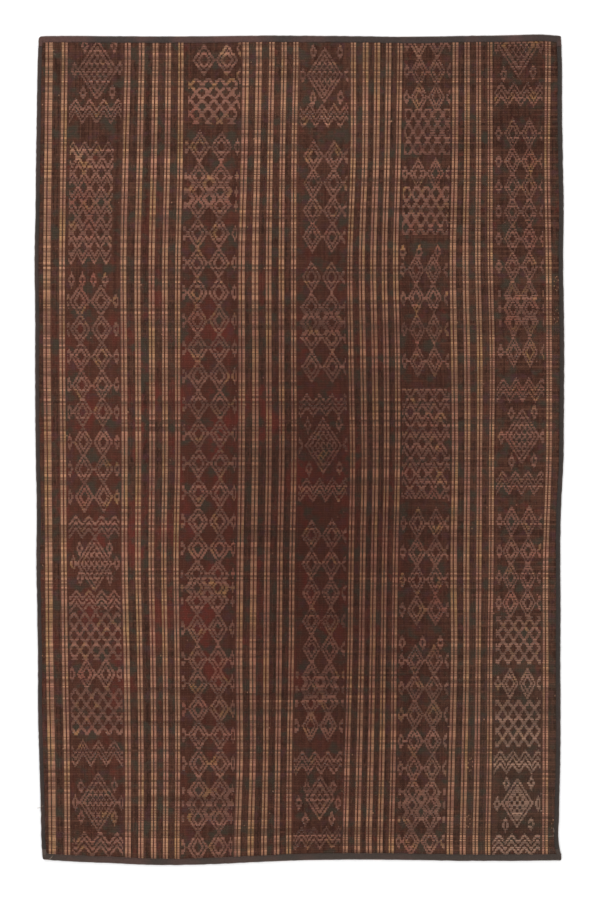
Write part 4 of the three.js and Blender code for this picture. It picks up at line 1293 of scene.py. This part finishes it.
def side_strip(side, low, high, spacing, sizes, raised, squeezed_ends, seed):
    """Leather along a long edge between two places along the mat."""
    places = np.arange(low, high + spacing / 2, spacing)
    x = side_edge[side](0.0)
    inset = (
        corner_inset(end_edge["top"](x) - places, CORNER_RADIUS[side, "top"])
        + corner_inset(places - end_edge["bottom"](x), CORNER_RADIUS[side, "bottom"])
    )
    widths = side_width(side, sizes) - inset + raised

    def plan(along, n):
        k = np.abs(places - along).argmin()
        return side_edge[side](along) + INWARD[side] * (n + inset[k]), np.full(n.shape, along)

    squeeze = np.ones(places.size)
    for at_end, end in ((squeezed_ends[0], places - places[0]), (squeezed_ends[1], places[-1] - places)):
        if at_end:
            squeeze *= np.clip(0.72 + 0.28 * end / 3, 0, 1)
    thickness = sizes.binding_thickness / MM
    points, faces, inward = folded_strip(
        places, plan, widths, thickness, sizes.binding_leather / MM, squeeze, seed, 0.1
    )
    points[:, 2] += raised * 0.5 * (points[:, 2] > thickness / 2)
    return points, faces, inward


END_ROUND = 16  # mm at each end of a short edge's leather that have closer rings of points


def end_strip(end, sizes, seed):
    """Leather over a short edge, from one long edge to the other, with its corners rounded."""
    y = {"top": 1500.0, "bottom": -1490.0}[end]
    left = side_edge["left"](y)
    right = side_edge["right"](y)
    middle = np.arange(left + END_ROUND, right - END_ROUND + 1, 4.6)
    start = left + END_ROUND * np.linspace(0, 1, 12)[:-1] ** 2 + 0.2
    stop = right - END_ROUND * np.linspace(1, 0, 12)[1:] ** 2 - 0.2
    places = np.concatenate([start, middle, stop])
    inset = (
        corner_inset(places - left, CORNER_RADIUS["left", end])
        + corner_inset(right - places, CORNER_RADIUS["right", end])
    )
    widths = sizes.end_binding_width / MM - inset

    def plan(across, n):
        k = np.abs(places - across).argmin()
        return np.full(n.shape, across), end_edge[end](across) + INWARD[end] * (n + inset[k])

    near_end = np.minimum(places - left, right - places)
    fold = np.clip(near_end / 2.4, 0.02, 1)
    squeeze = np.sqrt(1 - (1 - fold) ** 2)
    return folded_strip(
        places, plan, widths, sizes.binding_thickness / MM, sizes.binding_leather / MM, squeeze, seed, 0.0
    )


# How much lighter the leather of each lap is
LAP_TINTS = {("left", "top"): 0.1, ("right", "top"): 0.0, ("left", "bottom"): 1.0, ("right", "bottom"): 0.1}


def end_binding(name, end, sizes, material, seed):
    laps = []
    for k, side in enumerate(("left", "right")):
        under_strip = end_edge[end](side_edge[side](0.0)) + INWARD[end] * 9
        low, high = sorted((LAP_LINE[end], under_strip))
        lap = side_strip(side, low, high, 2.4, sizes, 0.35, (end == "top", end == "bottom"), seed + k)
        laps.append((lap, LAP_TINTS[side, end]))
    return joined_strips(name, [(end_strip(end, sizes, seed + 9), 0), *laps], material)


# Stitches

def stitch_tree(material):
    """Short leather stitches along given lines, each slanting across its line and sunk at both ends."""
    tree, given, result = new_geometry_tree("stitches on lines", {
        "Pitch": "NodeSocketFloat",
        "Stitch length": "NodeSocketFloat",
        "Stitch radius": "NodeSocketFloat",
        "Seed": "NodeSocketInt",
    })
    out = given.outputs
    lines = add_node(tree, "GeometryNodeMeshToCurve", {"Mesh": out["Geometry"]})
    spots = add_node(tree, "GeometryNodeCurveToPoints", {"Curve": lines, "Length": out["Pitch"]},
                     mode="LENGTH")
    half = add_node(tree, "ShaderNodeMath", {"Value": out["Stitch length"], "Value_001": 0.5},
                    operation="MULTIPLY")
    other_half = add_node(tree, "ShaderNodeMath", {"Value": half, "Value_001": -1.0}, operation="MULTIPLY")
    rise = add_node(tree, "ShaderNodeMath", {"Value": out["Stitch radius"], "Value_001": 2.6},
                    operation="MULTIPLY")
    start = add_node(tree, "ShaderNodeCombineXYZ", {"X": other_half})
    top = add_node(tree, "ShaderNodeCombineXYZ", {"Z": rise})
    stop = add_node(tree, "ShaderNodeCombineXYZ", {"X": half})
    arch = add_node(tree, "GeometryNodeCurveQuadraticBezier",
                    {"Resolution": 4, "Start": start, "Middle": top, "End": stop})
    ring = add_node(tree, "GeometryNodeCurvePrimitiveCircle",
                    {"Resolution": 5, "Radius": out["Stitch radius"]})
    stitch = add_node(tree, "GeometryNodeCurveToMesh",
                      {"Curve": arch, "Profile Curve": ring, "Fill Caps": True})
    slant = add_node(tree, "FunctionNodeRandomValue", {"Min": -0.12, "Max": 0.32, "Seed": out["Seed"]},
                     data_type="FLOAT")
    heading = add_node(tree, "FunctionNodeAlignRotationToVector", {"Vector": spots.outputs["Tangent"]},
                       axis="X", pivot_axis="Z")
    turn = add_node(tree, "ShaderNodeCombineXYZ", {"Z": slant})
    heading = add_node(tree, "FunctionNodeRotateRotation", {"Rotation": heading, "Rotate By": turn})
    size = add_node(tree, "FunctionNodeRandomValue", {"Min": 0.8, "Max": 1.15, "Seed": out["Seed"]},
                    data_type="FLOAT")
    scale = add_node(tree, "ShaderNodeCombineXYZ", {"X": size, "Y": 1.0, "Z": 1.0})
    placed = add_node(tree, "GeometryNodeInstanceOnPoints",
                      {"Points": spots.outputs["Points"], "Instance": stitch, "Rotation": heading,
                       "Scale": scale})
    real = add_node(tree, "GeometryNodeRealizeInstances", {"Geometry": placed})
    finished = add_node(tree, "GeometryNodeSetMaterial", {"Geometry": real, "Material": material})
    tree.links.new(finished.outputs["Geometry"], result.inputs["Geometry"])
    return tree


def stitch_lines(sizes):
    """A mesh of four lines, one along the inner rim of each binding."""
    rim = 3.4  # mm between the stitches and the inner rim of the leather
    height = sizes.binding_thickness / MM - 0.15
    points, edges = [], []
    for side in ("left", "right"):
        along = np.linspace(LAP_LINE["bottom"] + 6, LAP_LINE["top"] - 6, 240)
        across = side_edge[side](along) + INWARD[side] * (side_width(side, sizes) - rim)
        points.append(np.stack([across, along, np.full(along.size, height)], 1))
    for end in ("top", "bottom"):
        across = np.linspace(side_edge["left"](0.0) + 26, side_edge["right"](0.0) - 26, 160)
        along = end_edge[end](across) + INWARD[end] * (sizes.end_binding_width / MM - rim)
        points.append(np.stack([across, along, np.full(across.size, height)], 1))
    base = 0
    for line in points:
        edges += [(base + k, base + k + 1) for k in range(len(line) - 1)]
        base += len(line)
    mesh = bpy.data.meshes.new("stitch lines")
    mesh.from_pydata((np.concatenate(points) * MM).tolist(), edges, [])
    return mesh


# Loose threads: each is a list of points on the mat, in mm from its middle and over the floor
THREADS = (
    ((-958, -1309, 2.2), (-953, -1308, 6.5), (-946, -1306, 8.1), (-938, -1302, 8.0), (-930, -1296, 6.6)),
    ((-932, -1492, 7.4), (-922, -1496, 8.0), (-912, -1495, 7.9), (-903, -1488, 7.8), (-898, -1481, 7.4)),
    ((926, -1378, 5.8), (929, -1384, 7.9), (930, -1392, 7.8), (929, -1399, 5.9)),
    ((928, -1404, 5.9), (927, -1409, 7.7), (928, -1413, 5.8)),
    ((906, -1410, 5.2), (913, -1411, 6.4), (921, -1410, 7.3), (928, -1412, 5.8)),
    ((-896, 1442, 4.4), (-892, 1443, 5.2), (-887, 1441, 4.5)),
)


def tube(path, radius, sides=5):
    """Points and faces of a thin round fibre through the given points."""
    path = np.asarray(path, float)
    steps = np.linspace(0, len(path) - 1, 4 * len(path))
    knots = np.arange(len(path))
    line = np.stack([curve_through(knots, path[:, axis])(steps) for axis in range(3)], 1)
    heading = np.gradient(line, axis=0)
    heading /= np.linalg.norm(heading, axis=1)[:, None]
    aside = np.cross(heading, (0, 0, 1))
    aside /= np.linalg.norm(aside, axis=1)[:, None]
    up = np.cross(aside, heading)
    angle = 2 * math.pi * np.arange(sides) / sides
    outwards = np.cos(angle)[None, :, None] * aside[:, None] + np.sin(angle)[None, :, None] * up[:, None]
    taper = np.minimum(1, 0.25 + np.minimum(steps, steps[-1] - steps))[:, None, None]
    points = (line[:, None] + radius * taper * outwards).reshape(-1, 3)
    return points, ring_faces(len(line), sides)


# Operators, one for each group of pieces

class ReedMatCamera(bpy.types.Operator):
    """Places a long-lens camera straight over the mat"""

    bl_idname = "reed_mat.camera"
    bl_label = "Camera"

    def execute(self, context):
        stage = context.scene.reed_mat_stage
        data = bpy.data.cameras.new("camera over the mat")
        data.sensor_fit = "AUTO"
        data.sensor_width = 36.0
        data.lens = stage.lens
        data.clip_end = 60.0
        camera = bpy.data.objects.new("camera over the mat", data)
        camera.location = (0.0018, -0.0020, stage.picture_height * stage.lens / data.sensor_width)
        context.scene.collection.objects.link(camera)
        context.scene.camera = camera
        return {"FINISHED"}


class ReedMatThongs(bpy.types.Operator):
    """Weaves the leather thongs of every striped group and figured band, and their runs under the reeds"""

    bl_idname = "reed_mat.thongs"
    bl_label = "Thongs"

    def execute(self, context):
        sizes = context.scene.reed_mat_sizes
        material = thong_material(context.scene.reed_mat_colours)
        bare = chart_of_weave()
        for name, first, end, figured in zone_ends():
            piece = thong_piece(f"thongs_{name}", first, end, figured, bare, sizes, material)
            place_in(piece, "woven_thongs", ["woven_field"])
        place_in(back_piece("thongs_back", bare, sizes, material), "woven_thongs", ["woven_field"])
        return {"FINISHED"}


class ReedMatBindings(bpy.types.Operator):
    """Folds a strip of leather over each of the four edges"""

    bl_idname = "reed_mat.bindings"
    bl_label = "Bindings"

    def execute(self, context):
        sizes = context.scene.reed_mat_sizes
        colours = context.scene.reed_mat_colours
        top = binding_material("folded goat leather, top", colours, colours.top_binding, 0.8)
        bottom = binding_material("folded goat leather, bottom", colours, colours.bottom_binding, 0.5)
        side = binding_material("folded goat leather, sides", colours, colours.side_binding, 0.2)
        place_in(end_binding("top_binding", "top", sizes, top, 21), "end_leather", ["binding_top_end"])
        place_in(end_binding("bottom_binding", "bottom", sizes, bottom, 41), "end_leather",
                 ["binding_bottom_end"])
        for seed, name in ((61, "left"), (71, "right")):
            strip = side_strip(name, LAP_LINE["bottom"] + 0.3, LAP_LINE["top"] - 0.3, 3.6, sizes, 0.0,
                               (False, False), seed)
            piece = joined_strips(f"{name}_binding", [(strip, 0)], side)
            place_in(piece, "side_leather", [f"binding_{name}_side"])
        return {"FINISHED"}


class ReedMatStitches(bpy.types.Operator):
    """Sews the bindings down and adds the few loose threads"""

    bl_idname = "reed_mat.stitches"
    bl_label = "Stitches"

    def execute(self, context):
        sizes = context.scene.reed_mat_sizes
        colours = context.scene.reed_mat_colours
        leather = thread_material("rolled leather sewing thong", colours.side_binding)
        inputs = {
            "Pitch": sizes.stitch_pitch,
            "Stitch length": sizes.stitch_length,
            "Stitch radius": sizes.stitch_radius,
            "Seed": 8,
        }
        stitches = grown("binding_stitches", stitch_tree(leather), inputs, stitch_lines(sizes))
        stitches.data.shade_smooth()
        place_in(stitches, "side_leather")

        points, faces = joined([tube(path, sizes.thread_radius / MM) for path in THREADS])
        fibre = thread_material("twisted sewing fibre", colours.thread)
        place_in(new_piece("loose_threads", points, faces, fibre, closed=True), "thread")
        return {"FINISHED"}


class ReedMatReeds(bpy.types.Operator):
    bl_idname = "reed_mat.reeds"
    bl_label = "Reeds"

    def execute(self, context):
        sizes = context.scene.reed_mat_sizes
        material = reed_material(context.scene.reed_mat_colours)
        inputs = {
            "Rows": ROWS,
            "Row pitch": ROW_PITCH * MM,
            "Reeds in a row": sizes.reeds_in_row,
            "Reed spacing": sizes.reed_spacing,
            "Reed radius": sizes.reed_radius,
            "Length": REED_LENGTH * MM,
            "Rings": sizes.reed_rings,
            "Seed": 4,
        }
        reeds = grown("reeds", reed_tree(material), inputs)
        lay_reeds(reeds.data, sizes, sizes.reeds_in_row)
        place_in(reeds, "reed", ["woven_field"])
        return {"FINISHED"}


class ReedMatFloor(bpy.types.Operator):
    """Makes the plain pale floor and the soft light"""

    bl_idname = "reed_mat.stage"
    bl_label = "Stage"

    def execute(self, context):
        stage = context.scene.reed_mat_stage
        half = stage.floor_side / MM / 2
        corners = [(-half, -half, -0.3), (half, -half, -0.3), (half, half, -0.3), (-half, half, -0.3)]
        floor = new_piece("floor", corners, [(0, 1, 2, 3)], floor_material(context.scene.reed_mat_colours))

        world = bpy.data.worlds.new("even sky")
        world.use_nodes = True
        world.node_tree.nodes.clear()
        sky = add_node(world.node_tree, "ShaderNodeBackground",
                       {"Color": (1.0, 1.0, 1.0, 1.0), "Strength": stage.sky_light})
        add_node(world.node_tree, "ShaderNodeOutputWorld", {"Surface": sky})
        context.scene.world = world
        context.scene.view_settings.view_transform = "Standard"

        data = bpy.data.lights.new("window light", "AREA")
        data.shape = "RECTANGLE"
        data.size = 4.0
        data.size_y = 2.5
        data.energy = stage.window_light
        lamp = bpy.data.objects.new("window light", data)
        lamp.location = (-1.6, 4.2, 3.6)
        lamp.rotation_euler = (math.radians(-48), 0.0, math.radians(18))
        context.scene.collection.objects.link(lamp)
        return {"FINISHED"}


class ReedMatPanel(bpy.types.Panel):
    bl_idname = "REED_MAT_PT_main"
    bl_label = "Reed and leather mat"
    bl_space_type = "VIEW_3D"
    bl_region_type = "UI"
    bl_category = "Mat"

    def draw(self, context):
        for operator in OPERATORS:
            self.layout.operator(operator.bl_idname)
        for group_name, group in GROUPS.items():
            box = self.layout.box()
            for name in group.__annotations__:
                box.prop(getattr(context.scene, group_name), name)


OPERATORS = (ReedMatCamera, ReedMatThongs, ReedMatBindings, ReedMatStitches, ReedMatReeds, ReedMatFloor)
GROUPS = {"reed_mat_sizes": ReedMatSizes, "reed_mat_colours": ReedMatColours, "reed_mat_stage": ReedMatStage}


def register():
    for made in (*GROUPS.values(), *OPERATORS, ReedMatPanel):
        bpy.utils.register_class(made)
    for name, group in GROUPS.items():
        setattr(bpy.types.Scene, name, bpy.props.PointerProperty(type=group))


def unregister():
    for name in GROUPS:
        delattr(bpy.types.Scene, name)
    for made in (ReedMatPanel, *reversed(OPERATORS), *reversed(GROUPS.values())):
        bpy.utils.unregister_class(made)


def main():
    register()
    bpy.ops.reed_mat.camera()
    bpy.ops.reed_mat.thongs()
    bpy.ops.reed_mat.bindings()
    bpy.ops.reed_mat.stitches()
    bpy.ops.reed_mat.reeds()
    bpy.ops.reed_mat.stage()
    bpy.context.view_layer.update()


if __name__ == "__main__":
    main()
